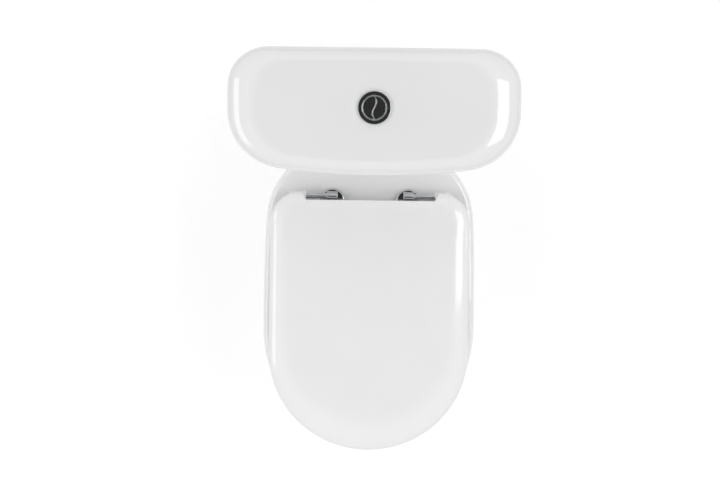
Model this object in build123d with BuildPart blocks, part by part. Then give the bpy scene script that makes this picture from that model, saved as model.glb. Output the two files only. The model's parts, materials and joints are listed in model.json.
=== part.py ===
from build123d import *

import os

# Close coupled toilet. Millimetres, +Z up, origin on the floor under the middle of the overall box,
# front towards -Y, cistern towards +Y, symmetric left to right about X = 0.

# ---------------------------------------------------------------- overall sizes
overall_depth = 642            # front of the seat cover to the back of the cistern lid
rim_height = 400               # floor to the top of the pan
cistern_width = 388            # over the cistern lid
cistern_lid_depth = 167        # front to back over the cistern lid
cistern_height = 382           # underside of the tank to the crown of its lid
cistern_lift = 8               # gap that the sealing ring keeps between pan and tank

front_y = -overall_depth / 2
back_y = overall_depth / 2

# ---------------------------------------------------------------- fits
seat_gap = 0.3                 # between curved faces that rest near each other
running_gap = 0.08             # radial, pin in a turning bore
sliding_gap = 0.3              # radial, plunger or tube in its guide
bolt_gap = 1.5                 # radial, bolt in a hole through china

# ---------------------------------------------------------------- pan
wall = 11                      # china wall
rim_half_width = 181
rim_setback = 5                # pan front behind the cover's front
rim_band = 36                  # depth of the upright band under the rim
rim_edge_radius = 9
rim_width = 42                 # outer edge of the rim to the bowl's opening
shelf_thickness = 16
shelf_half_width = 104
shelf_back_y = 306
open_back_y = 330              # hollow runs out through the back, which is open
pocket_front_y = 80            # front of the hollow under the shelf
flush_y = 241.7                # line of inlet, flush valve and button
bowl_middle_y = -120
bowl_back_y = 46
shelf_corner_radius = 22
neck_straight_y = 225          # flanks run straight back from here
sump_floor = 104
trap_bore = 54
trap_wall = 7
trap_step = 4                  # trap's mouth above the sump floor
outlet_height = 180
outlet_diameter = 102
outlet_bore = 84
outlet_length = 58
outlet_end_y = 314
foot_half_width = 118
lug_diameter = 34
lug_height = 16
lug_hole = 9
lug_x = 126
lug_rows = (-45, 95)
inlet_recess_diameter = 100
inlet_recess_depth = 18
inlet_bore = 62
duct_bore = 36
duct_height = 344

# ---------------------------------------------------------------- cistern
tank_wall = 10
tank_floor = 12
tank_inset = 9                 # tank top inside the lid's outline
tank_taper = 20                # further inset at the tank's bottom, front and sides
lid_height = 42                # underside of the lid's skirt to its crown
lid_skirt = 12                 # how far the lid drops outside the tank's top
lid_crown = 12                 # ceiling to crown
lid_edge_radius = 12
side_bulge_y = 245             # where the cistern is widest
side_lean = 5                  # how far its sides draw in towards the back
front_lean = 6                 # and towards the front
front_sweep = 16.6             # depth of the long front arc
back_corner_radius = 38
front_corner_radius = 74
tank_foot_radius = 14
lid_locating_gap = 1.5
tank_bolt_x = 76
tank_bolt_diameter = 8

tank_bottom = rim_height + cistern_lift
lid_top = tank_bottom + cistern_height
lid_bottom = lid_top - lid_height
tank_top = lid_bottom + lid_skirt
tank_inside = tank_bottom + tank_floor
lid_ceiling = lid_top - lid_crown
lid_front_y = back_y - cistern_lid_depth

# ---------------------------------------------------------------- button
bezel_diameter = 44
bezel_height = 3
button_diameter = 31
button_rise = 1.2
button_depth = 16
button_split = 0.4             # width of the gap between the two halves
sleeve_wall = 3
rod_x = 8
rod_diameter = 6

# ---------------------------------------------------------------- seat and cover
cover_half_width = 168
cover_front_radius = 166
cover_corner_radius = 52
cover_thickness = 15
cover_wall = 5
seat_thickness = 16
seat_buffer_height = 8
cover_buffer_gap = 2.5
ring_inset = 2                 # seat ring inside the cover's outline
ring_half_opening = 112
ring_front_opening_y = -264
ring_back_opening_y = 22

# ---------------------------------------------------------------- hinges
hinge_y = 110.5
hinge_height = 18              # axis above the pan
hinge_x = 64
hinge_bolt_y = 102
hinge_base_diameter = 41
hinge_base_height = 5.5
hinge_washer_height = 1.5
hinge_pin_diameter = 9
eye_diameter = 15
knuckle_diameter = 15
seat_knuckle = (107.5, 121.5)
cover_knuckle = (122, 136)
hinge_bolt_diameter = 8
hinge_notch_half_width = 107
cover_rear_y = 104.5
seat_rear_y = 100

hinge_z = rim_height + hinge_height
seat_bottom = rim_height + seat_buffer_height
seat_top = seat_bottom + seat_thickness
cover_bottom = seat_top + cover_buffer_gap
cover_top = cover_bottom + cover_thickness

# ---------------------------------------------------------------- flush valve and fill valve
valve_bore = 46
valve_thread = 60
valve_flange = 84
valve_seal_height = 3
valve_seat_height = 7
gasket_outer = 97
nut_height = 11
tube_diameter = 26
tube_wall = 2.5
cage_half = 30
cage_top = 690
post_width = 8
rocker_z = 700
rocker_pivot_x = 22
rocker_inner = 14              # pivot to the middle of the rod's pad
rocker_outer = 24              # pivot to the lifting end
rocker_thickness = 6
rocker_width = 6
rocker_pin = 4
fill_x = -128
fill_thread = 21
fill_bore = 13
fill_tower = 28
fill_head_z = 682
float_diameter = 62
float_height = 52
float_top = 640
lever_length = 45
lever_z = 694
link_diameter = 3

os.makedirs("parts", exist_ok=True)


def save(builder, name):
    """Label a finished part and write its STEP file."""
    builder.part.label = name
    export_step(builder.part, f"parts/{name}.step")


# ---------------------------------------------------------------- outlines
def pan_section(height, half_width, front, neck_half, back, inset=0):
    """Pan outline at a height: elliptical front, waisted flanks and a straight-backed shelf."""
    half = half_width - inset
    neck = neck_half - inset
    middle = bowl_middle_y
    corner = shelf_corner_radius - inset / 2
    waist = [(50, 0.955), (112, 0.83), (156, 0.47)]
    flank = [(half, middle)]
    flank += [(neck + (half - neck) * share, y) for y, share in waist]
    flank += [(neck, neck_straight_y)]
    with BuildSketch(Plane.XY.offset(height)) as section:
        with BuildLine():
            EllipticalCenterArc((0, middle), half, middle - front - inset, start_angle=180, arc_size=180)
            right = Spline(flank, tangents=[(0, 1), (0, 1)])
            side = Line(right @ 1, (neck, back - corner))
            turn = RadiusArc(side @ 1, (neck - corner, back), -corner)
            Line(turn @ 1, (corner - neck, back))
            mirror(turn, about=Plane.YZ)
            mirror(side, about=Plane.YZ)
            mirror(right, about=Plane.YZ)
        make_face()
    return section.sketch


def egg_section(height, half_width, front, back, middle, grow=0):
    """Closed bowl outline at a height: two half ellipses that meet at the widest line."""
    with BuildSketch(Plane.XY.offset(height)) as section:
        with BuildLine():
            EllipticalCenterArc(
                (0, middle), half_width + grow, middle - front + grow, start_angle=180, arc_size=180
            )
            EllipticalCenterArc(
                (0, middle), half_width + grow, back - middle + grow, start_angle=0, arc_size=180
            )
        make_face()
    return section.sketch


def cistern_section(height, inset_side=0, inset_front=0, inset_back=0):
    """Cistern outline at a height: straight back, gently bulged sides and a long front arc."""
    side = cistern_width / 2 - inset_side
    back = back_y - inset_back
    front = lid_front_y + inset_front
    with BuildSketch(Plane.XY.offset(height)) as section:
        with BuildLine():
            right_front = (side - front_lean, front + front_sweep)
            left_front = (front_lean - side, front + front_sweep)
            Line((side_lean - side, back), (side - side_lean, back))
            ThreePointArc((side - side_lean, back), (side, side_bulge_y), right_front)
            ThreePointArc(right_front, (0, front), left_front)
            ThreePointArc(left_front, (-side, side_bulge_y), (side_lean - side, back))
        make_face()
        corners = section.vertices().group_by(Axis.Y)
        fillet(corners[-1], back_corner_radius - inset_side / 2)
        fillet(section.vertices().group_by(Axis.Y)[0], front_corner_radius - inset_side)
    return section.sketch


def seat_section(height, inset, rear):
    """Seat outline at a height: round front, nearly straight sides and round rear corners."""
    middle = front_y + cover_front_radius
    half = cover_half_width - inset
    with BuildSketch(Plane.XY.offset(height)) as section:
        with BuildLine():
            EllipticalCenterArc(
                (0, middle), half, cover_front_radius - inset, start_angle=180, arc_size=180
            )
            Polyline((half, middle), (half - 1.5, rear), (1.5 - half, rear), (-half, middle))
        make_face()
        fillet(section.vertices().group_by(Axis.Y)[-1], cover_corner_radius - inset)
    return section.sketch


# ---------------------------------------------------------------- pan
rim_front = front_y + rim_setback
rim_outline = pan_section(rim_height - rim_band, rim_half_width, rim_front, shelf_half_width, shelf_back_y)

body_sizes = [                 # height, half width, front, neck half width, back
    (rim_height - rim_band, rim_half_width, rim_front, shelf_half_width, shelf_back_y),
    (340, 178, rim_front + 4, shelf_half_width, shelf_back_y),
    (280, 152, rim_front + 42, 100, shelf_back_y - 4),
    (190, 120, rim_front + 120, 94, shelf_back_y - 12),
    (90, 108, rim_front + 152, 92, shelf_back_y - 18),
    (0, foot_half_width, rim_front + 142, 100, shelf_back_y - 16),
]
outer_sections = [pan_section(*sizes) for sizes in body_sizes]
hollow_sizes = [(rim_height - rim_band - wall - 1, 179, rim_front + 3, shelf_half_width, shelf_back_y)]
hollow_sizes += body_sizes[1:-1]
hollow_sizes += [(-1, *body_sizes[-1][1:])]
hollow_sections = [
    pan_section(height, half, front, neck, open_back_y, inset=wall)
    for height, half, front, neck, back in hollow_sizes
]
pocket_outline = pan_section(
    hollow_sizes[0][0] - 1, rim_half_width, rim_front, shelf_half_width, open_back_y, inset=wall + 3
)
with BuildPart() as shelf_pocket:
    extrude(to_extrude=pocket_outline, amount=rim_height - shelf_thickness - hollow_sizes[0][0] + 1)
    split(bisect_by=Plane.XZ.offset(-pocket_front_y), keep=Keep.BOTTOM)

bowl_sizes = [                 # height, half width, front, back, widest line
    (rim_height - rim_band, 156, rim_front + 25, bowl_back_y + 14, -115),
    (330, 150, rim_front + 34, bowl_back_y + 10, -112),
    (260, 112, rim_front + 92, bowl_back_y - 2, -90),
    (190, 66, rim_front + 182, bowl_back_y - 12, -55),
    (135, 38, rim_front + 246, bowl_back_y - 22, -25),
    (sump_floor, 27, rim_front + 266, bowl_back_y - 32, -20),
]
bowl_inner = [egg_section(*sizes) for sizes in bowl_sizes]
bowl_outer = [egg_section(*sizes, grow=wall) for sizes in bowl_sizes[:-1]]
bowl_outer.append(egg_section(sump_floor - wall, 27, rim_front + 266, bowl_back_y - 32, -20, grow=wall))
bowl_opening = egg_section(
    rim_height - rim_band, rim_half_width - rim_width, rim_front + rim_width, bowl_back_y, bowl_middle_y
)

inlet_bottom = duct_height - duct_bore / 2 - wall - 5
trap_radius = trap_bore / 2
dip_z = sump_floor + trap_radius + trap_step
trap_points = [
    (0, -20, dip_z),
    (0, 75, dip_z),
    (0, 135, 286),
    (0, 195, outlet_height),
    (0, outlet_end_y - 20, outlet_height),
]
with BuildLine() as trap_line:
    FilletPolyline(*trap_points, radius=(45, 40, 45))

with BuildPart() as pan:
    loft(sections=outer_sections)
    extrude(to_extrude=rim_outline, amount=rim_band)
    rim_edges = pan.edges().group_by(Axis.Z)[-1]
    fillet(rim_edges, rim_edge_radius)
    loft(sections=hollow_sections, mode=Mode.SUBTRACT)
    add(shelf_pocket.part, mode=Mode.SUBTRACT)
    loft(sections=bowl_outer)
    with BuildSketch(Plane(origin=trap_line.line @ 0, z_dir=trap_line.line % 0)):
        Circle(trap_radius + trap_wall)
    sweep(path=trap_line.line)
    with BuildSketch(Plane.XZ.offset(-outlet_end_y)):
        with Locations((0, outlet_height)):
            Circle(outlet_diameter / 2)
    extrude(amount=outlet_length)
    with BuildSketch(Plane.XZ.offset(-flush_y)):
        with Locations((0, duct_height)):
            Circle(duct_bore / 2 + wall)
    extrude(amount=flush_y - bowl_back_y - 8)
    with BuildSketch(Plane.XY.offset(inlet_bottom)):
        with Locations((0, flush_y)):
            Circle(inlet_recess_diameter / 2 + wall)
    extrude(amount=rim_height - inlet_bottom - shelf_thickness / 2)
    with BuildSketch(Plane.XY):
        for row_y in lug_rows:
            with Locations((lug_x, row_y), (-lug_x, row_y)):
                Circle(lug_diameter / 2)
    extrude(amount=lug_height)
    loft(sections=bowl_inner, mode=Mode.SUBTRACT)
    extrude(to_extrude=bowl_opening, amount=rim_band + 1, mode=Mode.SUBTRACT)
    with BuildSketch(Plane(origin=trap_line.line @ 0, z_dir=trap_line.line % 0)):
        Circle(trap_radius)
    sweep(path=trap_line.line, mode=Mode.SUBTRACT)
    with BuildSketch(Plane.XZ.offset(-outlet_end_y)):
        with Locations((0, outlet_height)):
            Circle(outlet_bore / 2)
    extrude(amount=outlet_length - wall, mode=Mode.SUBTRACT)
    with BuildSketch(Plane.XZ.offset(-flush_y)):
        with Locations((0, duct_height)):
            Circle(duct_bore / 2)
    extrude(amount=flush_y - bowl_back_y - 4, mode=Mode.SUBTRACT)
    with Locations((0, flush_y, rim_height)):
        Hole(inlet_bore / 2, depth=rim_height - inlet_bottom - wall)
        Hole(inlet_recess_diameter / 2, depth=inlet_recess_depth)
    with Locations((tank_bolt_x, flush_y, rim_height), (-tank_bolt_x, flush_y, rim_height)):
        Hole(tank_bolt_diameter / 2 + bolt_gap, depth=shelf_thickness + 60)
    with Locations((hinge_x, hinge_bolt_y, rim_height), (-hinge_x, hinge_bolt_y, rim_height)):
        Hole(hinge_bolt_diameter / 2 + bolt_gap, depth=shelf_thickness + 60)
    for row_y in lug_rows:
        with Locations((lug_x, row_y, lug_height), (-lug_x, row_y, lug_height)):
            Hole(lug_hole / 2, depth=lug_height)
save(pan, "pan")

# ---------------------------------------------------------------- cistern
tank_top_inset = (tank_inset, tank_inset, tank_inset - 1)
tank_low_inset = (tank_inset + tank_taper, tank_inset + tank_taper, tank_inset - 1)


def tank_shell(low_z, top_z, extra):
    """Tapered solid of the tank's outline, inset further by extra."""
    share = (top_z - low_z) / (tank_top - tank_bottom)
    low = [size + extra for size in tank_low_inset]
    top = [size + extra for size in tank_top_inset]
    top = [a + (b - a) * share for a, b in zip(low, top)] if top_z < tank_top else top
    return cistern_section(low_z, *low), cistern_section(top_z, *top)


with BuildPart() as cistern_tank:
    loft(sections=tank_shell(tank_bottom, tank_top, 0), ruled=True)
    fillet(cistern_tank.edges().group_by(Axis.Z)[0], tank_foot_radius)
    loft(sections=tank_shell(tank_inside, tank_top + 1, tank_wall), ruled=True, mode=Mode.SUBTRACT)
    with Locations((0, flush_y, tank_inside)):
        Hole(valve_thread / 2 + bolt_gap, depth=tank_floor)
    with Locations((tank_bolt_x, flush_y, tank_inside), (-tank_bolt_x, flush_y, tank_inside)):
        Hole(tank_bolt_diameter / 2 + bolt_gap, depth=tank_floor)
    with Locations((fill_x, flush_y, tank_inside)):
        Hole(fill_thread / 2 + bolt_gap, depth=tank_floor)
save(cistern_tank, "cistern_tank")

pocket_inset = tuple(size - lid_locating_gap for size in tank_top_inset)
inner_inset = tuple(size + tank_wall + lid_locating_gap for size in tank_top_inset)
crown_radius = 4000

with BuildPart() as cistern_lid:
    extrude(to_extrude=cistern_section(lid_bottom), amount=lid_top - lid_bottom + 20)
    with Locations((0, flush_y, lid_top - crown_radius)):
        Sphere(crown_radius, mode=Mode.INTERSECT)
    fillet(cistern_lid.faces().sort_by(Axis.Z)[-1].edges(), lid_edge_radius)
    extrude(
        to_extrude=cistern_section(lid_bottom, *pocket_inset), amount=lid_skirt, mode=Mode.SUBTRACT
    )
    extrude(
        to_extrude=cistern_section(lid_bottom, *inner_inset),
        amount=lid_ceiling - lid_bottom,
        mode=Mode.SUBTRACT,
    )
    with Locations((0, flush_y, lid_top)):
        Hole(button_diameter / 2 + sliding_gap + sleeve_wall + sliding_gap, depth=lid_crown + 1)
save(cistern_lid, "cistern_lid")

with BuildPart() as cistern_gasket:
    with BuildSketch(Plane.XY.offset(rim_height - inlet_recess_depth)):
        with Locations((0, flush_y)):
            Circle(gasket_outer / 2)
            Circle(valve_flange / 2 + 0.5, mode=Mode.SUBTRACT)
    extrude(amount=inlet_recess_depth + cistern_lift)
save(cistern_gasket, "cistern_gasket")

# bolts that clamp the tank to the pan's shelf: head and rubber cone inside the tank, wing nut below
shelf_under = rim_height - shelf_thickness
bolt_spots = [(tank_bolt_x, flush_y), (-tank_bolt_x, flush_y)]
bolt_seal_height = 6
bolt_seal_radius = 13
bolt_washer_radius = 12
bolt_head_height = 6
washer_height = 1.5
bolt_tail = 26

with BuildPart() as tank_bolt_seals:
    with BuildSketch(Plane.XY.offset(tank_inside)):
        with Locations(*bolt_spots):
            Circle(bolt_seal_radius)
            Circle(tank_bolt_diameter / 2, mode=Mode.SUBTRACT)
    extrude(amount=bolt_seal_height, taper=12)
save(tank_bolt_seals, "tank_bolt_seals")

with BuildPart() as tank_bolts:
    with BuildSketch(Plane.XY.offset(tank_inside + bolt_seal_height)):
        with Locations(*bolt_spots):
            RegularPolygon(8, 6)
    extrude(amount=bolt_head_height)
    with BuildSketch(Plane.XY.offset(shelf_under - bolt_tail)):
        with Locations(*bolt_spots):
            Circle(tank_bolt_diameter / 2)
    extrude(amount=tank_inside + bolt_seal_height - shelf_under + bolt_tail)
save(tank_bolts, "tank_bolts")

with BuildPart() as tank_bolt_washers:
    with BuildSketch(Plane.XY.offset(shelf_under - washer_height)):
        with Locations(*bolt_spots):
            Circle(bolt_washer_radius)
            Circle(tank_bolt_diameter / 2, mode=Mode.SUBTRACT)
    extrude(amount=washer_height)
save(tank_bolt_washers, "tank_bolt_washers")


def wing_nuts(top_z, spots, bore):
    """Wing nuts hanging from a height: a round hub with two raked wings each."""
    with BuildPart() as nuts:
        with BuildSketch(Plane.XY.offset(top_z)):
            with Locations(*spots):
                Circle(bore / 2 + 4)
                Circle(bore / 2, mode=Mode.SUBTRACT)
        extrude(amount=-9)
        with BuildSketch(Plane.XY.offset(top_z - 4)):
            with Locations(*spots):
                Rectangle(4, 36)
                Circle(bore / 2 + 2, mode=Mode.SUBTRACT)
        extrude(amount=-11)
    return nuts


save(wing_nuts(shelf_under - washer_height, bolt_spots, tank_bolt_diameter), "tank_wing_nuts")

# ---------------------------------------------------------------- flush valve
flange_z = tank_inside + valve_seal_height
flange_height = 4
seat_z = flange_z + flange_height + valve_seat_height
nut_top = tank_bottom - 0.3
spigot_end_z = rim_height - inlet_recess_depth - 14
post_depth = 10
cage_ring_z = 560
cage_ring_height = 8
top_plate = 6

with BuildPart() as flush_valve_seal:
    with BuildSketch(Plane.XY.offset(tank_inside)):
        with Locations((0, flush_y)):
            Circle(valve_flange / 2)
            Circle(valve_thread / 2, mode=Mode.SUBTRACT)
    extrude(amount=valve_seal_height)
save(flush_valve_seal, "flush_valve_seal")

with BuildPart() as flush_valve_nut:
    with BuildSketch(Plane.XY.offset(nut_top)):
        with Locations((0, flush_y)):
            RegularPolygon(valve_flange / 2 - 1, 8)
            Circle(valve_thread / 2, mode=Mode.SUBTRACT)
    extrude(amount=-nut_height)
save(flush_valve_nut, "flush_valve_nut")

with BuildPart() as flush_valve_body:
    with BuildSketch(Plane.XY.offset(spigot_end_z)):
        with Locations((0, flush_y)):
            Circle(valve_thread / 2)
    extrude(amount=flange_z - spigot_end_z)
    with BuildSketch(Plane.XY.offset(flange_z)):
        with Locations((0, flush_y)):
            Circle(valve_flange / 2)
    extrude(amount=flange_height)
    with BuildSketch(Plane.XY.offset(flange_z + flange_height)):
        with Locations((0, flush_y)):
            Circle(valve_bore / 2 + 5)
    extrude(amount=valve_seat_height)
    with BuildSketch(Plane.XY.offset(flange_z + flange_height)):
        with Locations((0, flush_y + cage_half + 5), (0, flush_y - cage_half - 5)):
            Rectangle(post_width, post_depth)
    extrude(amount=cage_top - flange_z - flange_height)
    with BuildSketch(Plane.XY.offset(cage_top)):
        with Locations((0, flush_y)):
            Rectangle(2 * rocker_pivot_x + 10, 2 * cage_half + 20)
            Circle(tube_diameter / 2 + 2, mode=Mode.SUBTRACT)
    extrude(amount=-top_plate)
    with BuildSketch(Plane.XY.offset(cage_ring_z)):
        with Locations((0, flush_y)):
            Circle(cage_half + 4)
            Circle(cage_half - 4, mode=Mode.SUBTRACT)
    extrude(amount=cage_ring_height)
    with Locations((0, flush_y, seat_z)):
        Hole(valve_bore / 2, depth=seat_z - spigot_end_z)
save(flush_valve_body, "flush_valve_body")

# two upright cheeks on each side of the top plate, with a rocker's pin through each pair
bracket_spots = [
    (x, flush_y + side * (rocker_width / 2 + 2.5))
    for x in (rocker_pivot_x, -rocker_pivot_x)
    for side in (1, -1)
]
with BuildPart() as rocker_brackets:
    with BuildSketch(Plane.XY.offset(cage_top)):
        with Locations(*bracket_spots):
            Rectangle(9, 4)
    extrude(amount=rocker_z - cage_top + 5)
    with BuildSketch(Plane.XZ.offset(-flush_y)):
        with Locations((rocker_pivot_x, rocker_z), (-rocker_pivot_x, rocker_z)):
            Circle(rocker_pin / 2)
    extrude(amount=12, both=True, mode=Mode.SUBTRACT)
save(rocker_brackets, "rocker_brackets")

with BuildPart() as rocker_pins:
    with BuildSketch(Plane.XZ.offset(-flush_y - rocker_width / 2 - 5)):
        with Locations((rocker_pivot_x, rocker_z), (-rocker_pivot_x, rocker_z)):
            Circle(rocker_pin / 2)
    extrude(amount=rocker_width + 10)
save(rocker_pins, "rocker_pins")


def rocker(side):
    """Lever that turns a rod's push into a lift: pad under the rod, pivot, lifting end outside."""
    with BuildPart() as lever:
        with BuildSketch(Plane.XZ.offset(-flush_y - rocker_width / 2)):
            with Locations((side * (rocker_pivot_x + (rocker_outer - rocker_inner - 2) / 2), rocker_z)):
                Rectangle(rocker_outer + rocker_inner + 2, rocker_thickness)
            with Locations((side * rocker_pivot_x, rocker_z)):
                Circle(4.4)
                Circle(rocker_pin / 2 + running_gap, mode=Mode.SUBTRACT)
        extrude(amount=rocker_width)
    return lever


save(rocker(1), "full_flush_rocker")
save(rocker(-1), "half_flush_rocker")

tab_z = rocker_z + rocker_thickness / 2 + seat_gap
tab_inner_x = rocker_pivot_x + 16
arm_x = rocker_pivot_x + rocker_outer + 1.5
crossbar_z = 636

with BuildPart() as flush_tube:
    with BuildSketch(Plane.XY.offset(seat_z + 3)):
        with Locations((0, flush_y)):
            Circle(valve_bore / 2 + 3)
    extrude(amount=7, taper=30)
    with BuildSketch(Plane.XY.offset(seat_z + 3)):
        with Locations((0, flush_y)):
            Circle(tube_diameter / 2)
    extrude(amount=crossbar_z + 20 - seat_z - 3)
    with BuildSketch(Plane.XY.offset(crossbar_z)):
        with Locations((arm_x / 2 + 2, flush_y)):
            Rectangle(arm_x + 4, 8)
    extrude(amount=6)
    with BuildSketch(Plane.XY.offset(crossbar_z)):
        with Locations((arm_x + 2, flush_y)):
            Rectangle(4, 8)
    extrude(amount=tab_z + 4 - crossbar_z)
    with BuildSketch(Plane.XY.offset(tab_z)):
        with Locations(((tab_inner_x + arm_x) / 2 + 1, flush_y)):
            Rectangle(arm_x - tab_inner_x + 2, 8)
    extrude(amount=4)
    with Locations((0, flush_y, crossbar_z + 20)):
        Hole(tube_diameter / 2 - tube_wall, depth=crossbar_z + 20 - seat_z)
save(flush_tube, "flush_tube")

with BuildPart() as flush_seal:
    with BuildSketch(Plane.XY.offset(seat_z)):
        with Locations((0, flush_y)):
            Circle(valve_bore / 2 + 5)
            Circle(tube_diameter / 2 - tube_wall, mode=Mode.SUBTRACT)
    extrude(amount=3)
save(flush_seal, "flush_seal")

with BuildPart() as half_flush_slider:
    with BuildSketch(Plane.XY.offset(crossbar_z)):
        with Locations((-arm_x - 2, flush_y)):
            Rectangle(4, 8)
    extrude(amount=tab_z + 4 - crossbar_z)
    with BuildSketch(Plane.XY.offset(tab_z)):
        with Locations((-(tab_inner_x + arm_x) / 2 - 1, flush_y)):
            Rectangle(arm_x - tab_inner_x + 2, 8)
    extrude(amount=4)
save(half_flush_slider, "half_flush_slider")

# ---------------------------------------------------------------- flush button in the lid
sleeve_outer = button_diameter / 2 + sliding_gap + sleeve_wall
sleeve_bottom = lid_ceiling - 26
bezel_top = lid_top + bezel_height
cap_top = bezel_top + button_rise
cap_bottom = cap_top - button_depth
rod_bottom = rocker_z + rocker_thickness / 2 + seat_gap
collar_height = 8
split_swing = 2.5

with BuildPart() as button_bezel:
    with BuildSketch(Plane.XY.offset(lid_top)):
        with Locations((0, flush_y)):
            Circle(bezel_diameter / 2)
    extrude(amount=bezel_height)
    fillet(button_bezel.edges().group_by(Axis.Z)[-1], 1.4)
    with BuildSketch(Plane.XY.offset(sleeve_bottom)):
        with Locations((0, flush_y)):
            Circle(sleeve_outer)
    extrude(amount=lid_top - sleeve_bottom)
    with Locations((0, flush_y, bezel_top)):
        Hole(sleeve_outer - sleeve_wall, depth=bezel_top - sleeve_bottom - 3)
    with Locations((rod_x, flush_y, sleeve_bottom + 3), (-rod_x, flush_y, sleeve_bottom + 3)):
        Hole(rod_diameter / 2 + sliding_gap, depth=3)
save(button_bezel, "button_bezel")

with BuildPart() as button_nut:
    with BuildSketch(Plane.XY.offset(lid_ceiling - seat_gap)):
        with Locations((0, flush_y)):
            Circle(sleeve_outer + 7)
            Circle(sleeve_outer, mode=Mode.SUBTRACT)
    extrude(amount=-collar_height)
save(button_nut, "button_nut")


def button_half(side):
    """One half of the round button, parted from the other along an S shaped line, with its stem."""
    radius = button_diameter / 2
    shift = side * button_split / 2
    parting = [
        (shift, -radius - 1),
        (shift - split_swing, -radius / 2),
        (shift + split_swing, radius / 2),
        (shift, radius + 1),
    ]
    with BuildPart() as cap:
        with BuildSketch(Plane.XY.offset(cap_bottom)):
            with Locations((0, flush_y)):
                Circle(radius)
        extrude(amount=button_depth)
        fillet(cap.edges().group_by(Axis.Z)[-1], 0.8)
        with BuildSketch(Plane.XY.offset(cap_bottom)):
            with BuildLine(Plane.XY.offset(cap_bottom) * Pos(0, flush_y)):
                curve = Spline(parting)
                Polyline(curve @ 1, (side * 20, radius + 1), (side * 20, -radius - 1), curve @ 0)
            make_face()
        extrude(amount=button_depth, mode=Mode.INTERSECT)
    return cap


save(button_half(1), "full_flush_button")
save(button_half(-1), "half_flush_button")


def push_rod(side):
    """Rod from a button half down to its rocker, with a round end."""
    with BuildPart() as rod:
        with BuildSketch(Plane.XY.offset(rod_bottom + rod_diameter / 2)):
            with Locations((side * rod_x, flush_y)):
                Circle(rod_diameter / 2)
        extrude(amount=cap_bottom - rod_bottom - rod_diameter / 2)
        with Locations((side * rod_x, flush_y, rod_bottom + rod_diameter / 2)):
            Sphere(rod_diameter / 2)
    return rod


save(push_rod(1), "full_flush_rod")
save(push_rod(-1), "half_flush_rod")

spring_wire = 0.9
spring_coil = 4.6
spring_bottom = sleeve_bottom + 3 + spring_wire / 2 + 0.05
spring_top = cap_bottom - spring_wire / 2 - 0.05


def button_spring(side):
    """Coil spring round a rod, between the sleeve's floor and the button."""
    length = spring_top - spring_bottom
    centre = (side * rod_x, flush_y, spring_bottom)
    with BuildPart() as spring:
        with BuildLine():
            coil = Helix(pitch=length / 4, height=length, radius=spring_coil, center=centre)
        with BuildSketch(Plane(origin=coil @ 0, z_dir=coil % 0)):
            Circle(spring_wire / 2)
        sweep(is_frenet=True)
    return spring


save(button_spring(1), "full_flush_spring")
save(button_spring(-1), "half_flush_spring")

# ---------------------------------------------------------------- fill valve
fill_flange = 34
fill_nut_height = 10
fill_tail = 38
fill_tail_radius = 10.2         # free end of the shank that the supply nut takes
head_radius = 19
head_height = 22

with BuildPart() as fill_valve_seal:
    with BuildSketch(Plane.XY.offset(tank_inside)):
        with Locations((fill_x, flush_y)):
            Circle(fill_flange / 2)
            Circle(fill_thread / 2, mode=Mode.SUBTRACT)
    extrude(amount=valve_seal_height)
save(fill_valve_seal, "fill_valve_seal")

with BuildPart() as fill_valve_nut:
    with BuildSketch(Plane.XY.offset(nut_top)):
        with Locations((fill_x, flush_y)):
            RegularPolygon(18, 6)
            Circle(fill_thread / 2, mode=Mode.SUBTRACT)
    extrude(amount=-fill_nut_height)
save(fill_valve_nut, "fill_valve_nut")

with BuildPart() as fill_valve_body:
    with BuildSketch(Plane.XY.offset(tank_bottom - fill_tail)):
        with Locations((fill_x, flush_y)):
            Circle(fill_tail_radius)
    extrude(amount=fill_tail)
    with BuildSketch(Plane.XY.offset(nut_top - fill_nut_height)):
        with Locations((fill_x, flush_y)):
            Circle(fill_thread / 2)
    extrude(amount=flange_z - nut_top + fill_nut_height)
    with BuildSketch(Plane.XY.offset(flange_z)):
        with Locations((fill_x, flush_y)):
            Circle(fill_flange / 2)
    extrude(amount=5)
    with BuildSketch(Plane.XY.offset(flange_z + 5)):
        with Locations((fill_x, flush_y)):
            Circle(fill_tower / 2)
    extrude(amount=fill_head_z - flange_z - 5)
    with BuildSketch(Plane.XY.offset(tank_bottom - fill_tail)):
        with Locations((fill_x, flush_y)):
            Circle(fill_bore / 2)
    extrude(amount=fill_head_z - 20 - tank_bottom + fill_tail, mode=Mode.SUBTRACT)
save(fill_valve_body, "fill_valve_body")

lever_pivot_x = fill_x + head_radius + 4
lever_end_x = lever_pivot_x + lever_length
lever_width = 8
lever_thickness = 4
lever_pin_radius = 1.5

with BuildPart() as fill_valve_cap:
    with BuildSketch(Plane.XY.offset(fill_head_z)):
        with Locations((fill_x, flush_y)):
            Circle(head_radius)
    extrude(amount=head_height)
    fillet(fill_valve_cap.edges().group_by(Axis.Z)[-1], 4)
    with BuildSketch(Plane.XY.offset(fill_head_z)):
        with Locations(
            (lever_pivot_x - 4, flush_y + lever_width / 2 + 2.3),
            (lever_pivot_x - 4, flush_y - lever_width / 2 - 2.3),
        ):
            Rectangle(16, 4)
    extrude(amount=head_height - 5)
    with BuildSketch(Plane.XZ.offset(-flush_y)):
        with Locations((lever_pivot_x, lever_z)):
            Circle(lever_pin_radius)
    extrude(amount=12, both=True, mode=Mode.SUBTRACT)
save(fill_valve_cap, "fill_valve_cap")

with BuildPart() as float_lever_pin:
    with BuildSketch(Plane.XZ.offset(-flush_y - lever_width / 2 - 4.3)):
        with Locations((lever_pivot_x, lever_z)):
            Circle(lever_pin_radius)
    extrude(amount=lever_width + 8.6)
save(float_lever_pin, "float_lever_pin")

save(float_lever_pin, "float_lever_pin")

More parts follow.
